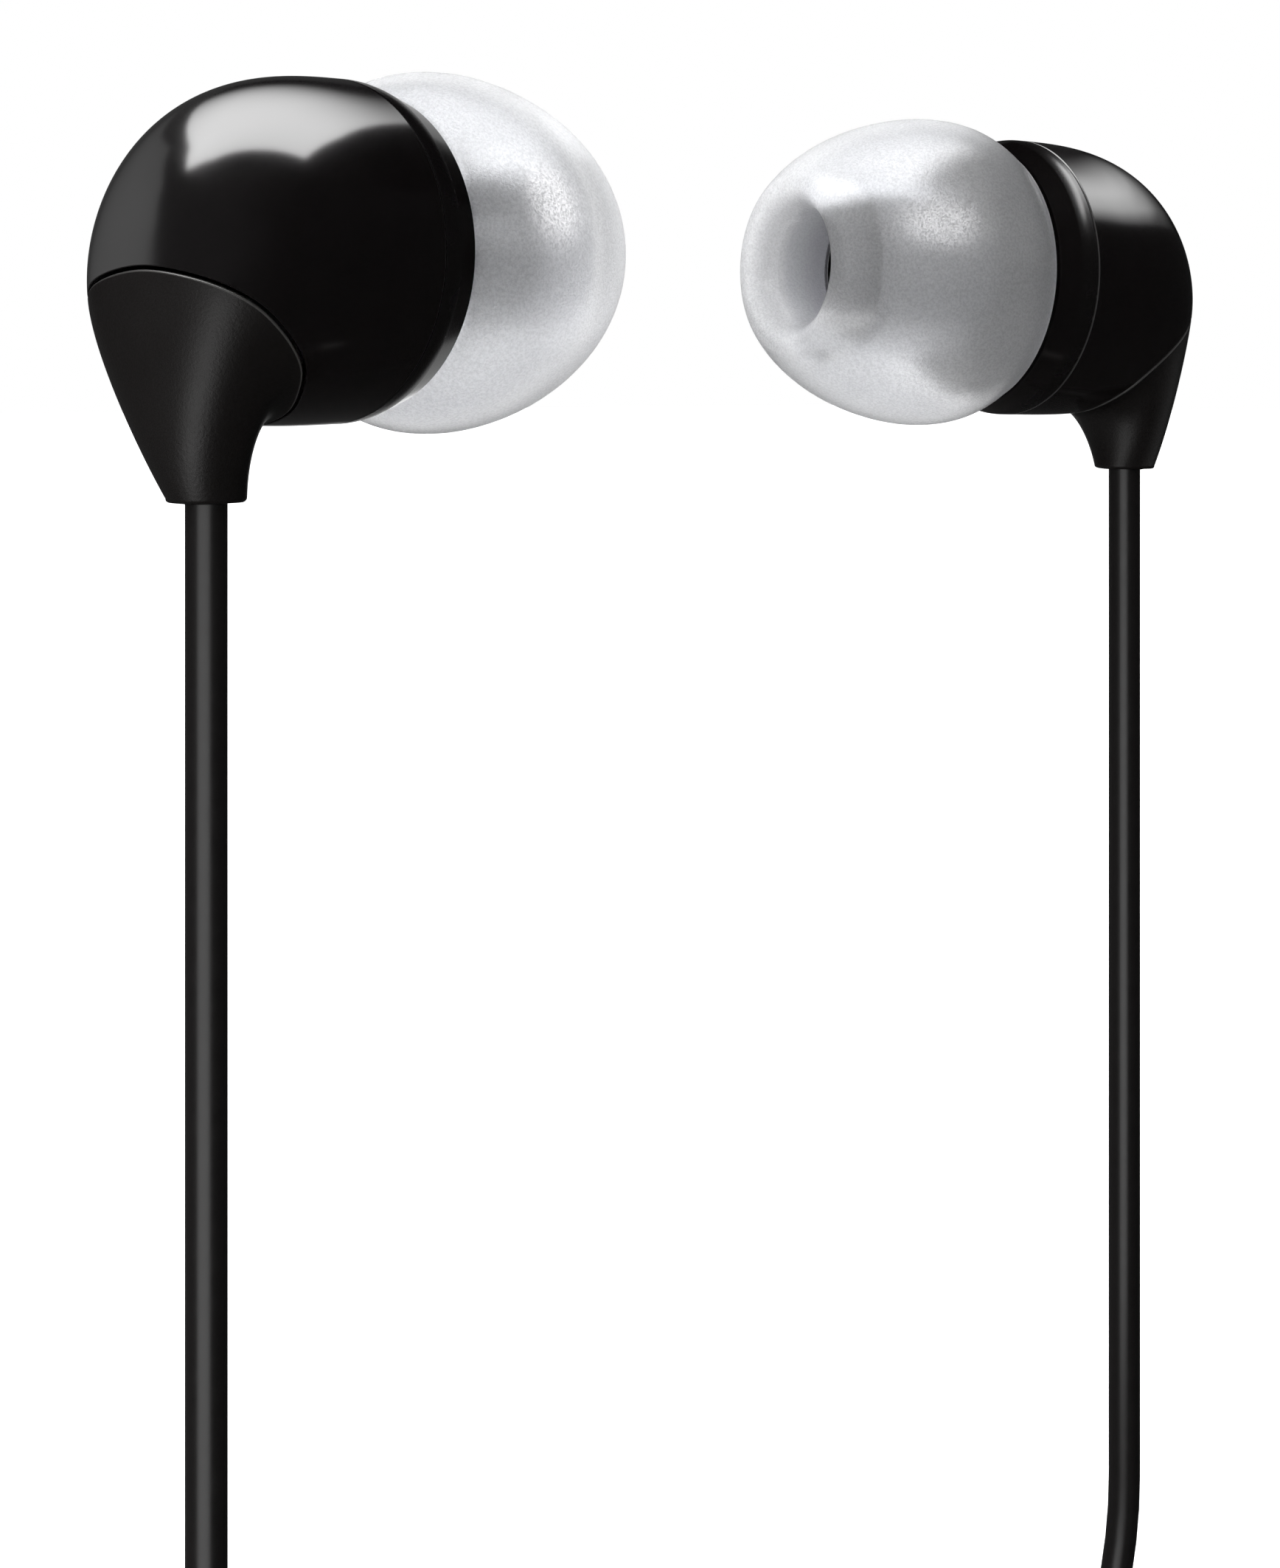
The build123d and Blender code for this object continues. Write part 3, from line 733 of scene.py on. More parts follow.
def coil_turns(start, layers, outer, inner, heights, per_turn):
    """Control points of a two-layer coil: inwards on the lower layer, outwards on the upper one.

    Start is the azimuth where the cord joins its turns. Layers holds the degrees that it goes round
    on each layer, and outer the radius where each layer begins or ends outside."""
    first_end = start + layers[0]
    total = layers[0] + layers[1]
    low, high = heights
    widen = 1.0 / math.cos(math.pi / per_turn)  # the spline runs inside its control points
    crossing = 90.0  # degrees over which the cord climbs to its second layer
    points = []
    count = round(total / 360.0 * per_turn)
    for k in range(1, count):
        azimuth = start + total * k / count
        if azimuth < first_end:
            radius = outer[0] + (inner - outer[0]) * (azimuth - start) / layers[0]
        else:
            radius = inner + (outer[1] - inner) * (azimuth - first_end) / layers[1]
        climb = min(1.0, max(0.0, (azimuth - first_end) / crossing + 0.5))
        climb = climb * climb * (3.0 - 2.0 * climb)
        points.append(on_coil(radius * widen, azimuth, low + (high - low) * climb))
    return points


def cord_curve(name, points, diameter, material):
    """A round cord along one smooth spline that its points steer."""
    curve = bpy.data.curves.new(name, "CURVE")
    curve.dimensions = "3D"
    curve.bevel_depth = diameter / 2
    curve.bevel_resolution = 6
    curve.resolution_u = 5
    curve.use_fill_caps = True
    spline = curve.splines.new("NURBS")
    spline.points.add(len(points) - 1)
    for control, point in zip(spline.points, points):
        control.co = (*(c * MM for c in point), 1.0)
    spline.order_u = 3
    spline.use_endpoint_u = True
    curve.materials.append(material)
    cord = bpy.data.objects.new(name, curve)
    bpy.context.scene.collection.objects.link(cord)
    return cord


class EARPHONES_OT_cable(bpy.types.Operator):
    """Runs both branches and the main cord, each with its put-away coil"""

    bl_idname = "earphones.cable"
    bl_label = "Cable"

    to_hole = 1.05  # from the splitter's middle to the hole of either branch
    tuck = 3.0  # how far each cord goes into the splitter

    def execute(self, context):
        cord = context.scene.earphones_cord
        self.branch, self.main, self.floor = cord.branch / MM, cord.main / MM, SURFACE / MM
        self.per_turn = cord.points_per_turn
        (left, front, bottom), (right, back, top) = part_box("splitter")
        self.split_start, self.split_end = left / MM, right / MM
        self.split_y, self.split_z = (front + back) / 2 / MM, (bottom + top) / 2 / MM
        jacket = satin_jacket("cord_jacket", context.scene.earphones_finish.jacket)
        low = self.floor + 2 * self.main + self.branch / 2
        routes = self.left_route(low, low + self.branch), self.right_route(low, low + self.branch)
        lengths = (0.394, 0.384)
        for side, points, length in zip(SIDES, routes, lengths):
            piece = cord_curve(side + "_branch", points, cord.branch, jacket)
            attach(piece, "earphones")
            hidden = [side + "_cord", side + "_branch_end"] + (["branch_coil"] if side == "left" else [])
            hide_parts(*hidden)
            leaves = (points[0][0] * MM, points[0][1] * MM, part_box(side + "_strain_relief")[0][2])
        piece = cord_curve("main_cord", self.main_route(), cord.main, jacket)
        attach(piece, "earphones")
        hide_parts("main_lead", "main_coil", "main_tail")
        leaves = (self.split_end * MM, self.split_y * MM, self.split_z * MM)
        return {"FINISHED"}

    def left_route(self, low, high):
        """Straight down, forwards to the coil, round it, and up into the splitter's near hole."""
        return [
            (-22.63, -1.75, -3.24),
            (-22.63, -1.75, -47.1),
            (-22.63, -1.75, -54.0),
            (-21.8, -4.6, -60.3),
            (-19.6, -9.4, -64.5),
            (-16.5, -15.7, low + 0.2),
            on_coil(14.8, 204, low),
            *coil_turns(204, (720.0, 731.0), (14.8, 14.9), 9.0, (low, high), self.per_turn),
            on_coil(14.9, 215, high),
            (-9.9, -27.5, high + 0.3),
            (-6.9, -29.4, high + 1.5),
            (self.split_start - 0.35, self.split_y - self.to_hole, self.split_z),
            (self.split_start + self.tuck, self.split_y - self.to_hole, self.split_z),
        ]

    def right_route(self, low, high):
        """Straight down, across to the coil's back, round it, and up into the splitter's far hole."""
        return [
            (22.63, -1.75, -3.24),
            (22.63, -1.75, -48.3),
            (22.63, -1.75, -55.2),
            (19.6, -1.7, -61.4),
            (14.0, -1.9, -64.6),
            (7.2, -2.0, low + 0.2),
            on_coil(14.3, 89, low),
            *coil_turns(89, (835.2, 725.0), (14.28, 13.4), 7.55, (low, high), self.per_turn),
            on_coil(13.4, 209, high),
            (-10.0, -25.4, high + 0.3),
            (-7.5, -27.4, high + 1.4),
            (self.split_start - 0.7, self.split_y + self.to_hole, self.split_z),
            (self.split_start + self.tuck, self.split_y + self.to_hole, self.split_z),
        ]

    def main_route(self):
        """Out of the splitter, down to the surface, round under the branches, and into the plug."""
        low, high = self.floor + self.main / 2, self.floor + 1.5 * self.main
        layer = 4.708 * 360.0
        return [
            (self.split_end - self.tuck, self.split_y, self.split_z),
            (self.split_end + 1.05, self.split_y, self.split_z),
            (14.8, -27.5, self.split_z - 0.95),
            (18.2, -23.8, self.split_z - 2.95),
            (19.35, -18.6, self.split_z - 5.2),
            (17.9, -13.2, low + 0.5),
            on_coil(16.8, 30, low),
            *coil_turns(30, (layer, layer), (16.8, 16.8), 8.2, (low, high), self.per_turn),
            on_coil(16.8, 180, high),
            (-17.6, -21.6, self.floor + 2.6),
            (-17.0, -27.1, self.floor + 2.5),
            (-14.5, -32.1, self.floor + 2.5),
            (-10.3, -35.9, self.floor + 2.7),
            (-5.4, -37.6, self.floor + 3.0),
            (-1.5, -37.6, self.floor + 3.0),
        ]


# ---------------------------------------------------------------- earbud surfaces, in millimetres

CORD_AT = -5.933  # the cord's place along the sound axis
FOOT_SIDE = 0.81  # the foot of the neck leans this far to one side
FOOT_HEIGHT = -8.05
FOOT_HALF = (1.25, 1.32)  # half the foot's width along the sound axis and across it
GROOVE = 0.045  # half the groove between cap and relief
PARTING = [  # the joint between cap and relief, from below the dome up to its back: along, height, side
    (-3.20, -5.62, 0.0),
    (-3.50, -5.35, 1.90),
    (-3.95, -4.65, 3.10),
    (-4.60, -3.75, 4.00),
    (-5.60, -2.70, 4.33),
    (-6.62, -1.72, 3.97),
    (-7.50, -0.98, 2.55),
    (-7.80, -0.60, 0.0),
]


def bend(start, away, end, into, t):
    """A point on the smooth bend from start to end, which leaves along away and arrives along into."""
    return (
        start * (2 * t**3 - 3 * t**2 + 1)
        + away * (t**3 - 2 * t**2 + t)
        + end * (3 * t**2 - 2 * t**3)
        + into * (t**3 - t**2)
    )


class Housing:
    """The outside of one earbud behind its seam: a squared dome, and the joint across it."""

    def __init__(self, bud):
        self.radius = bud.radius / MM
        self.depth = bud.depth / MM
        self.power = bud.squareness
        self.drop = bud.drop / MM
        self.middle = Vector((0.0, 0.0, -self.drop))

    def gauge(self, p):
        """1 on the dome, less inside it."""
        z = p.z + self.drop
        square = self.radius**2 - self.drop**2
        root = math.sqrt((self.drop * z) ** 2 + square * (z * z + p.y * p.y))
        across = (root - self.drop * z) / square
        return ((abs(p.x) / self.depth) ** self.power + across**self.power) ** (1 / self.power)

    def on_dome(self, p):
        """The point moved out or in from the crown's height until it lies on the dome."""
        return self.middle + (p - self.middle) / self.gauge(p)

    def dome_normal(self, p, step=0.002):
        steps = (Vector((step, 0, 0)), Vector((0, step, 0)), Vector((0, 0, step)))
        return Vector([self.gauge(p + axis) - self.gauge(p - axis) for axis in steps]).normalized()

    def parting(self, angle):
        """A point of the joint between cap and relief. 0 is below the dome, 180 at its back."""
        rows = PARTING + [(u, z, -v) for u, z, v in PARTING[-2:0:-1]]
        place = angle / 360.0 * len(rows)
        k, t = int(place), place - int(place)
        before, start, end, after = (Vector(rows[(k + i) % len(rows)]) for i in (-1, 0, 1, 2))
        u, z, v = bend(start, (end - before) / 2, end, (after - start) / 2, t)
        return self.on_dome(Vector((u, -v, z)))

    def parting_frame(self, angle):
        """The joint's point, and the way across it towards the relief."""
        here = self.parting(angle % 360)
        along = self.parting((angle + 0.5) % 360) - self.parting((angle - 0.5) % 360)
        across = along.cross(self.dome_normal(here)).normalized()
        in_relief = Vector((-6.0, 0.0, -5.0))
        if across.dot(in_relief - here) < 0:
            across = -across
        return here, across


def rounded_edge(ring, radius, depth, steps=5):
    """Rings that turn a skin's edge inwards: ring holds (point, normal, way out over the edge)."""
    rings = []
    for k in range(1, steps + 1):
        c, s = math.cos(math.pi / 2 * k / steps), math.sin(math.pi / 2 * k / steps)
        rings.append([(p + out * radius * s - n * radius * (1 - c), n * c + out * s) for p, n, out in ring])
    rings.append([(p + out * radius - n * (radius + depth), out) for p, n, out in ring])
    return rings


def rounded_outline(corners, steps=6):
    """An outline of (along, radius, rounding) corners as (point, normal) pairs, outside on the left."""
    straight = 0.01  # a corner that turns less than this many radians is none
    outline = []
    flat = [Vector((u, r)) for u, r, _ in corners]
    for k, here in enumerate(flat):
        way_in = (here - flat[k - 1]).normalized() if k else (flat[1] - here).normalized()
        way_out = (flat[k + 1] - here).normalized() if k + 1 < len(flat) else way_in
        first, last = Vector((-way_in.y, way_in.x)), Vector((-way_out.y, way_out.x))
        rounding = corners[k][2]
        turn = math.atan2(way_in.cross(way_out), way_in.dot(way_out))
        if k in (0, len(flat) - 1) or not rounding or abs(turn) < straight:
            outline += [(here, first), (here, last)] if abs(turn) > straight else [(here, first)]
            continue
        side = 1 if turn > 0 else -1
        start = here - way_in * rounding * math.tan(abs(turn) / 2)
        middle = start + first * rounding * side
        for i in range(steps + 1):
            c, s = math.cos(turn * i / steps), math.sin(turn * i / steps)
            normal = Vector((first.x * c - first.y * s, first.x * s + first.y * c))
            outline.append((middle - normal * rounding * side, normal))
    return outline


def smooth_outline(points):
    """A smooth outline's points with their normals, outside on the left."""
    outline = []
    for k, here in enumerate(points):
        before, after = points[max(0, k - 1)], points[min(len(points) - 1, k + 1)]
        way = (after - before).normalized()
        outline.append((here, Vector((-way.y, way.x))))
    return outline


def turned_rings(outline, around):
    """Rings about the sound axis from an outline of (point, normal) pairs."""
    turns = [2 * math.pi * j / around for j in range(around)]
    ways = [(math.cos(turn), math.sin(turn)) for turn in turns]
    rings = []
    for p, n in outline:
        rings.append([(Vector((p.x, p.y * c, p.y * s)), Vector((n.x, n.y * c, n.y * s))) for c, s in ways])
    return rings


def bud_place(bud, side):
    """Takes millimetres along one earbud's own axes to metres in the shared frame."""
    place = (
        Matrix.Translation((-bud.half_spacing, 0, 0))
        @ Matrix.Rotation(bud.toe_in, 4, "Z")
        @ Matrix.Rotation(-bud.nose_up, 4, "Y")
        @ Matrix.Scale(MM, 4)
    )
    if side == "right":
        place = Matrix.Scale(-1, 4, (1, 0, 0)) @ place
    return place


def skin(name, rings, place, material, body, closed=False, trims=()):
    """A piece from rings of (point, normal), with exact normals; closed joins the last ring to the first.

    Each trim is another finish, with the first and last of the rings it goes between."""
    around = len(rings[0])
    same_place = 1e-7
    turn = place.to_3x3()
    turn = turn * (1 / abs(turn.determinant()) ** (1 / 3))  # without its scale
    points = [place @ p for ring in rings for p, _ in ring]
    normals = [(turn @ n).normalized() for ring in rings for _, n in ring]
    faces = []
    pairs = [(k, k + 1) for k in range(len(rings) - 1)] + ([(len(rings) - 1, 0)] if closed else [])
    for k, after in pairs:
        if all((rings[k][j][0] - rings[after][j][0]).length < same_place for j in (0, around // 3)):
            continue
        for j in range(around):
            i = (j + 1) % around
            faces.append((k * around + j, k * around + i, after * around + i, after * around + j))
    a, b, c, _ = (points[i] for i in faces[len(faces) // 2])
    if (b - a).cross(c - a).dot(normals[faces[len(faces) // 2][0]]) < 0:
        faces = [face[::-1] for face in faces]
    mesh = bpy.data.meshes.new(name)
    mesh.from_pydata(points, [], faces)
    mesh.shade_smooth()
    mesh.normals_split_custom_set_from_vertices(normals)
    mesh.materials.append(material)
    for number, (other, first, last) in enumerate(trims, 1):
        mesh.materials.append(other)
        for face in mesh.polygons:
            if first * around <= min(face.vertices) and max(face.vertices) < (last + 1) * around:
                face.material_index = number
    piece = bpy.data.objects.new(name, mesh)
    bpy.context.scene.collection.objects.link(piece)
    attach(piece, body)
    return piece


class EARPHONES_OT_rear_caps(bpy.types.Operator):
    """Makes the polished domes behind the seams"""

    bl_idname = "earphones.rear_caps"
    bl_label = "Rear caps"

    def execute(self, context):
        bud = context.scene.earphones_bud
        gloss = polished_black("polished_cap", context.scene.earphones_finish.shell)
        # the seam's rounded edge: rougher, and lighter in colour as a painted highlight line along the seam
        wear_and_edge_highlight = polished_black("seam_edge_painted_highlight", (0.02, 0.019, 0.019), rough=0.3)
        rings = self.rings(Housing(bud), bud.edge / MM)
        trims = [(wear_and_edge_highlight, 0, 5)]  # the rounded edge at the seam
        for side in SIDES:
            piece = skin(side + "_dome", rings, bud_place(bud, side), gloss, "earphones", trims=trims)
            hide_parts(side + "_rear_cap")
        return {"FINISHED"}

    def rings(self, housing, edge, around=216, rows=72):
        """From the rounded edge at the seam over the dome to the rounded edge at the joint."""
        seam, joint = [], []
        back_off = GROOVE + edge
        for j in range(around):
            angle = 360.0 * j / around
            turn = math.radians(angle)
            rim = Vector((-edge - 0.01, -housing.radius * math.sin(turn), -housing.radius * math.cos(turn)))
            rim = housing.on_dome(rim)
            seam.append((rim, housing.dome_normal(rim), Vector((1.0, 0.0, 0.0))))
            here, across = housing.parting_frame(angle)
            here = housing.on_dome(here - across * back_off)
            joint.append((here, housing.dome_normal(here), across))
        rings = rounded_edge(seam, edge, 0.3)[::-1]
        for k in range(rows + 1):
            ring = []
            for (start, _, _), (end, _, _) in zip(seam, joint):
                p = housing.on_dome(start.lerp(end, k / rows))
                ring.append((p, housing.dome_normal(p)))
            rings.append(ring)
        return rings + rounded_edge(joint, edge * 0.6, 0.25)


class EARPHONES_OT_strain_reliefs(bpy.types.Operator):
    """Makes the matt necks that the cords leave through"""

    bl_idname = "earphones.strain_reliefs"
    bl_label = "Strain reliefs"

    def execute(self, context):
        bud = context.scene.earphones_bud
        matt = matt_moulding("matt_relief", context.scene.earphones_finish.relief)
        # the rounded edge along the joint: glossier moulding, and a lighter colour that is a painted
        # highlight line
        edge = matt_moulding("joint_edge_painted_highlight", (0.03, 0.029, 0.028), rough=0.34, depth=0.000004)
        rings = self.rings(Housing(bud), bud.edge / MM, context.scene.earphones_cord.branch / 2 / MM)
        trims = [(edge, len(rings) - 7, len(rings))]  # the rounded edge along the joint
        for side in SIDES:
            piece = skin(side + "_neck", rings, bud_place(bud, side), matt, "earphones", trims=trims)
            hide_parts(side + "_strain_relief")
        return {"FINISHED"}

    def rings(self, housing, edge, cord_radius, around=240, rows=72, foot_round=0.18):
        """From the cord's mouth round the foot, and up a smooth flare that meets the dome along the joint."""
        back_off = edge * 1.3
        mouth_depth = 1.0
        down = Vector((0.0, 0.0, -1.0))
        ground = Vector((CORD_AT, -FOOT_SIDE, FOOT_HEIGHT))
        lines, joint, mouth = [], [], []
        for j in range(around):
            turn = math.radians(360.0 * j / around)
            way = Vector((math.cos(turn), -math.sin(turn), 0.0))
            here, across = housing.parting_frame(math.degrees(turn))
            here = housing.on_dome(here + across * (GROOVE + back_off))
            joint.append((here, housing.dome_normal(here), -across))
            mouth.append(ground + way * (cord_radius + 0.05))
            start = ground + Vector((way.x * FOOT_HALF[0], way.y * FOOT_HALF[1], foot_round))
            rise, sink = self.handles(start, here, way, across)
            lines.append((start, rise, here, sink))
        rings = self.with_normals([[bend(*line, k / rows) for line in lines] for k in range(rows + 1)])
        rings[-1] = [(p, n) for p, n, _ in joint]
        foot = rounded_edge([(p, n, down) for p, n in rings[0]], foot_round, 0.05)[::-1]
        inside = [(p - down * mouth_depth, ground - p) for p in mouth]
        return [inside, [(p, down) for p in mouth], *foot, *rings, *rounded_edge(joint, back_off, 0.2)]

    def handles(self, start, end, way, across):
        """How the flare leaves the foot, and how it runs into the dome: fuller at its front."""
        reach = (end - start).length
        front, back = max(0.0, way.x) ** 2, max(0.0, -way.x) ** 2
        low = 0.918 + 0.945 * front + 0.163 * back
        high = 0.766 + 0.337 * front - 0.321 * back
        rise = Vector((-0.2 + 0.2 * way.x, 0.146 + 0.409 * way.y, 1.0)).normalized()
        return rise * reach * low, -across * reach * high

    def with_normals(self, grid):
        """Each point of the flare with its normal, from its neighbours."""
        around = len(grid[0])
        rings = []
        for k, row in enumerate(grid):
            above, below = grid[min(k + 1, len(grid) - 1)], grid[max(k - 1, 0)]
            ring = []
            for j, here in enumerate(row):
                round_it = row[(j + 1) % around] - row[j - 1]
                ring.append((here, (above[j] - below[j]).cross(round_it).normalized()))
            rings.append(ring)
        return rings


class EARPHONES_OT_front_shells(bpy.types.Operator):
    """Makes the front halves with their bevelled ring and nozzle, and finishes the meshes in them"""

    bl_idname = "earphones.front_shells"
    bl_label = "Front shells"

    corners = [  # along, radius, rounding: from the seam forwards, into the bore and back inside
        (0.012, 5.45, 0.0),
        (0.012, 5.80, 0.06),
        (0.52, 5.80, 1.8),
        (1.68, 5.43, 0.05),
        (1.68, 4.48, 0.2),
        (2.98, 2.40, 0.25),
        (6.93, 2.40, 0.10),
        (7.105, 2.55, 0.08),
        (7.385, 2.55, 0.08),
        (7.63, 2.40, 0.06),
        (7.63, 2.00, 0.05),
        (7.33, 2.00, 0.0),
        (7.33, 1.70, 0.0),
        (2.98, 1.70, 0.1),
        (1.50, 3.195, 0.0),
        (1.20, 3.57, 0.0),
        (1.20, 4.32, 0.0),
        (-1.20, 4.32, 0.0),
        (-1.20, 4.87, 0.0),
        (0.0, 4.87, 0.0),
        (0.0, 5.45, 0.0),
        (0.012, 5.45, 0.0),
    ]

    def execute(self, context):
        bud = context.scene.earphones_bud
        gloss = polished_black("polished_front", context.scene.earphones_finish.shell)
        band = polished_black("satin_band", context.scene.earphones_finish.shell, rough=0.25)
        weave = woven_steel("nozzle_mesh_steel", (0.04, 0.04, 0.042), (0.45, 0.45, 0.46))
        rings = turned_rings(rounded_outline(self.corners), 192)
        trims = [(band, 1, 14)]  # from the corner at the seam round the bevel
        for side in SIDES:
            piece = skin(side + "_front", rings, bud_place(bud, side), gloss, "earphones", trims=trims)
            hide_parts(side + "_front_shell")
            dress(side + "_nozzle_mesh", weave)
        return {"FINISHED"}


class EARPHONES_OT_ear_tips(bpy.types.Operator):
    """Makes the silicone tips, each a skirt folded back over its core"""

    bl_idname = "earphones.ear_tips"
    bl_label = "Ear tips"

    def execute(self, context):
        tip = context.scene.earphones_tip
        finish = context.scene.earphones_finish
        # both silicones carry painted shade round the hole; the bore's gets more painted shade further in
        skirt = frosted_silicone("frosted_silicone", finish.silicone, finish.bore)
        bore = frosted_silicone("bore_silicone_painted_shade", finish.silicone, finish.bore, inner_painted_shade=0.31, clear=0.7)
        inner = clear_silicone("inner_silicone", finish.silicone)
        outline, bore_start, bore_end, inner_end = self.outline(tip)
        trims = [(bore, bore_start, bore_end), (inner, bore_end, inner_end)]
        around = 128
        rings = turned_rings(outline, around)
        for side in SIDES:
            place = bud_place(context.scene.earphones_bud, side)
            piece = skin(side + "_silicone_tip", rings, place, skirt, side + "_tip", closed=True, trims=trims)
            layer = piece.data.uv_layers.new(name="outline")
            for spot, loop in zip(layer.data, piece.data.loops):
                spot.uv = outline[loop.vertex_index // around][0]
            piece.visible_glossy = False
            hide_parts(side + "_ear_tip")
        return {"FINISHED"}

    def outline(self, tip):
        """The closed outline: skirt from its rear rim to the lip, hole, bore, core, inside of the skirt.

        With it go the places in it where the bore starts and ends, and where the inside ends."""
        sizes = (tip.radius, tip.widest, tip.nose, tip.lip, tip.front, tip.hole, tip.wall)
        wide, mid, nose, lip, front, hole, wall = (size / MM for size in sizes)
        rim, rim_r, rim_t = (size / MM for size in (tip.rim, tip.rim_radius, tip.rim_thickness))
        stop, root = 7.66, 3.33  # where the bore widens over the nozzle, and where the core ends
        seat, core = 2.62, 3.32  # radii of the widened bore, and of the core outside

        def radius(u):
            """The skirt's outside: a blunt nose ahead of the widest place, a slower curve behind it."""
            if u >= mid:
                return wide * (1 - ((u - mid) / nose) ** 1.69) ** (1 / 2.43)
            return wide - (wide - rim_r) * ((mid - u) / (mid - rim)) ** 2.65

        def roll(start, away, end, into, steps):
            """Points of a smooth bend after start, up to end."""
            return [bend(start, Vector(away), end, Vector(into), k / steps) for k in range(1, steps + 1)]

        behind = [rim + (mid - rim) * k / 14 for k in range(14)]
        ahead = [mid + (lip - mid) * k / 34 for k in range(35)]
        outer = [Vector((u, radius(u))) for u in behind + ahead]
        way = Vector((0.02, radius(lip + 0.01) - radius(lip - 0.01))).normalized()
        apex = Vector((lip + 0.24, 0.6 * outer[-1].y + 0.4 * hole))
        outer += roll(outer[-1], way, apex, (0.15, -1.0), 8)
        outer += roll(apex, (0.2, -1.35), Vector((front, hole)), (-1.5, 0.0), 12)

        corners = [(front, hole), (stop, hole), (stop, seat), (root, seat), (root, core)]
        bore = rounded_outline([(u, r, 0.0) for u, r in corners])

        web = mid + 0.7 * (lip - mid)  # where the core flares into the skirt
        inner = [Vector((web - back, core + out)) for back, out in ((0.80, 0.0), (0.38, 0.05), (0.10, 0.24))]
        turned = lip - 0.4 * (lip - mid) - 1.0  # where the inside has turned back along the skirt
        end = Vector((turned, radius(turned) - 1.5 * wall))
        inner += roll(inner[-1], (0.25, 0.6), end, (-2.2, 1.0), 12)
        for k in range(1, 22):
            u = turned + (rim - turned) * k / 21
            thick = wall * 1.5 - wall * 0.5 * min(1.0, (turned - u) / (turned - mid))
            thinner = (wall - rim_t) * max(0.0, (mid - u) / (mid - rim))
            inner.append(Vector((u, radius(u) - thick + thinner)))

        middle = Vector((rim, rim_r - rim_t / 2))
        turns = [math.radians(15 + 150 * k / 8) for k in range(9)]
        rear = [middle - Vector((math.sin(turn), math.cos(turn))) * rim_t / 2 for turn in turns]

        bore_start = len(outer)
        bore_end = bore_start + 5  # the ring at the core's root
        inner_end = bore_start + len(bore) + len(inner) - 1
        whole = smooth_outline(outer) + bore + smooth_outline(inner + rear)
        return whole, bore_start, bore_end, inner_end


class EARPHONES_OT_drivers(bpy.types.Operator):
    """Finishes the pieces inside the housings"""

    bl_idname = "earphones.drivers"
    bl_label = "Drivers"

    def execute(self, context):
        steel = plated_metal("driver_steel", (0.55, 0.55, 0.56), rough=0.28)
        nickel = plated_metal("magnet_nickel", (0.62, 0.61, 0.60), rough=0.22)
        copper = plated_metal("voice_copper", (0.76, 0.38, 0.20), rough=0.30)
        finishes = {
            "driver_gasket": soft_matter("gasket_foam", (0.05, 0.05, 0.05), 5000.0),
            "driver_cover": steel,
            "driver_frame": steel,
            "diaphragm": soft_matter("membrane_film", (0.62, 0.56, 0.42), 900.0, rough=0.35),
            "voice_coil": copper,
            "pole_plate": steel,
            "magnet": nickel,
            "yoke": steel,
            "damping_felt": soft_matter("felt_ring", (0.80, 0.80, 0.76), 4000.0),
            "terminal_board": soft_matter("laminate", (0.05, 0.25, 0.10), 1500.0, rough=0.5),
            "cord_crimp": matt_moulding("crimp_collar", (0.09, 0.09, 0.09)),
            "inner_wire": plated_metal("red_enamel", (0.50, 0.10, 0.06), rough=0.35),
            "outer_wire": plated_metal("gold_enamel", (0.66, 0.45, 0.12), rough=0.35),
        }
        for name, material in finishes.items():
            for node in both(name):
                dress(node, material)
        return {"FINISHED"}


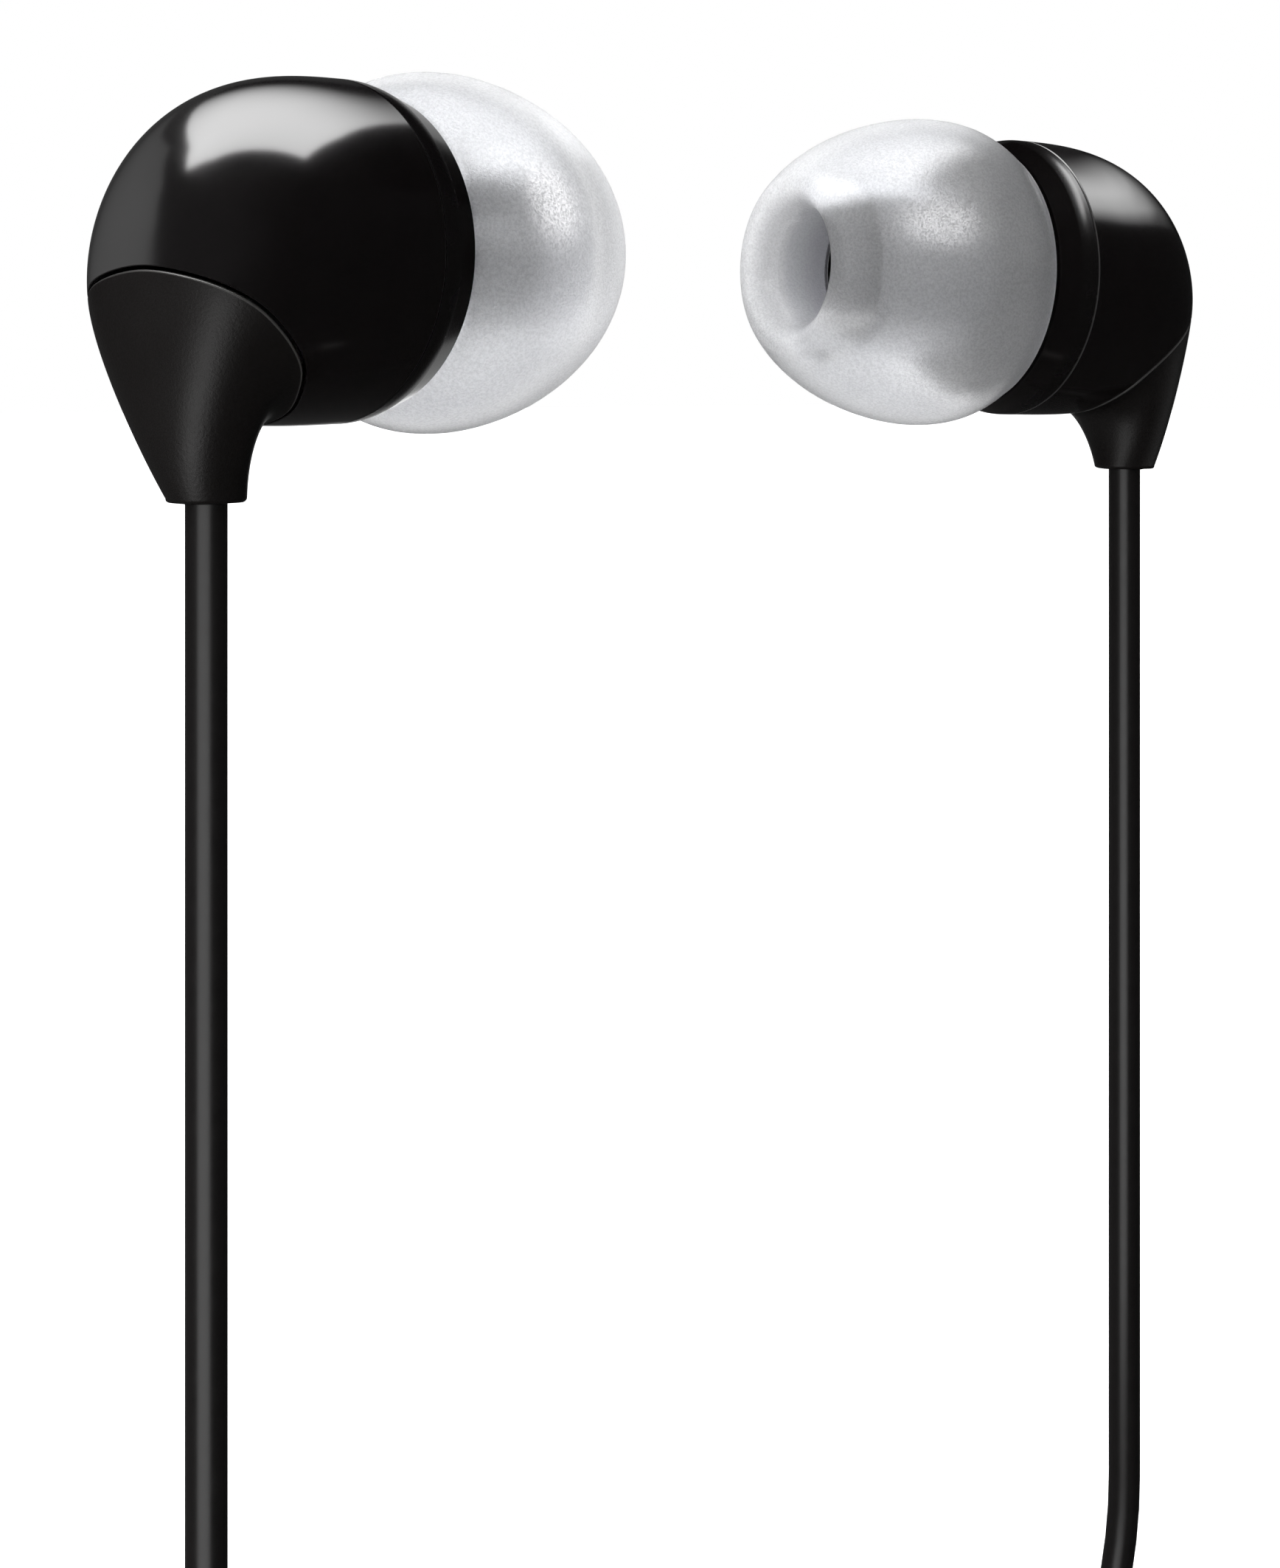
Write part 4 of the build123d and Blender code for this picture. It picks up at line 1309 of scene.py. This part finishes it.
class EARPHONES_OT_splitter_and_plug(bpy.types.Operator):
    """Finishes the splitter and the stereo plug"""

    bl_idname = "earphones.splitter_and_plug"
    bl_label = "Splitter and plug"

    def execute(self, context):
        satin = (0.018, 0.017, 0.017)
        moulded = matt_moulding("satin_moulding", satin, grain=5000.0, rough=0.42, depth=0.000006)
        rubber = matt_moulding("boot_rubber", (0.020, 0.019, 0.019), grain=6000.0, rough=0.6)
        nickel = plated_metal("contact_nickel", (0.78, 0.76, 0.72), rough=0.18)
        ring = polished_black("insulator_black", (0.01, 0.01, 0.01))
        dress("splitter", moulded)
        dress("splitter_crimp", plated_metal("crimp_copper", (0.76, 0.45, 0.28)))
        dress("plug_grip", moulded)
        dress("plug_boot", rubber)
        dress("plug_core", matt_moulding("plug_core_plastic", (0.10, 0.10, 0.10)))
        for node in ("plug_tip_contact", "plug_ring_contact", "plug_sleeve_contact"):
            dress(node, nickel)
        for node in ("plug_front_insulator", "plug_rear_insulator"):
            dress(node, ring)
        return {"FINISHED"}


# ---------------------------------------------------------------- panel and main

STEPS = [
    EARPHONES_OT_stage,
    EARPHONES_OT_cable,
    EARPHONES_OT_rear_caps,
    EARPHONES_OT_strain_reliefs,
    EARPHONES_OT_front_shells,
    EARPHONES_OT_ear_tips,
    EARPHONES_OT_drivers,
    EARPHONES_OT_splitter_and_plug,
    EARPHONES_OT_highlights,
]
GROUPS = {
    "earphones_bud": EARPHONES_PG_bud,
    "earphones_tip": EARPHONES_PG_tip,
    "earphones_cord": EARPHONES_PG_cord,
    "earphones_finish": EARPHONES_PG_finish,
    "earphones_stage": EARPHONES_PG_stage,
}


class EARPHONES_PT_panel(bpy.types.Panel):
    """Lists the pieces and the sizes they are made from"""

    bl_label = "Earphones"
    bl_idname = "EARPHONES_PT_panel"
    bl_space_type = "VIEW_3D"
    bl_region_type = "UI"
    bl_category = "Earphones"

    def draw(self, context):
        for step in STEPS:
            self.layout.operator(step.bl_idname)
        for name, group in GROUPS.items():
            box = self.layout.box()
            for prop in group.__annotations__:
                box.prop(getattr(context.scene, name), prop)


def register():
    for group in GROUPS.values():
        bpy.utils.register_class(group)
    for name, group in GROUPS.items():
        setattr(bpy.types.Scene, name, bpy.props.PointerProperty(type=group))
    for step in STEPS:
        bpy.utils.register_class(step)
    bpy.utils.register_class(EARPHONES_PT_panel)


def unregister():
    bpy.utils.unregister_class(EARPHONES_PT_panel)
    for step in reversed(STEPS):
        bpy.utils.unregister_class(step)
    for name, group in GROUPS.items():
        delattr(bpy.types.Scene, name)
        bpy.utils.unregister_class(group)


def main():
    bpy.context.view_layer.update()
    register()
    for step in STEPS:
        area, action = step.bl_idname.split(".")
        if getattr(getattr(bpy.ops, area), action)() != {"FINISHED"}:
            raise RuntimeError(step.bl_label + " wasn't finished")
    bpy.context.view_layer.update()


if __name__ == "__main__":
    main()
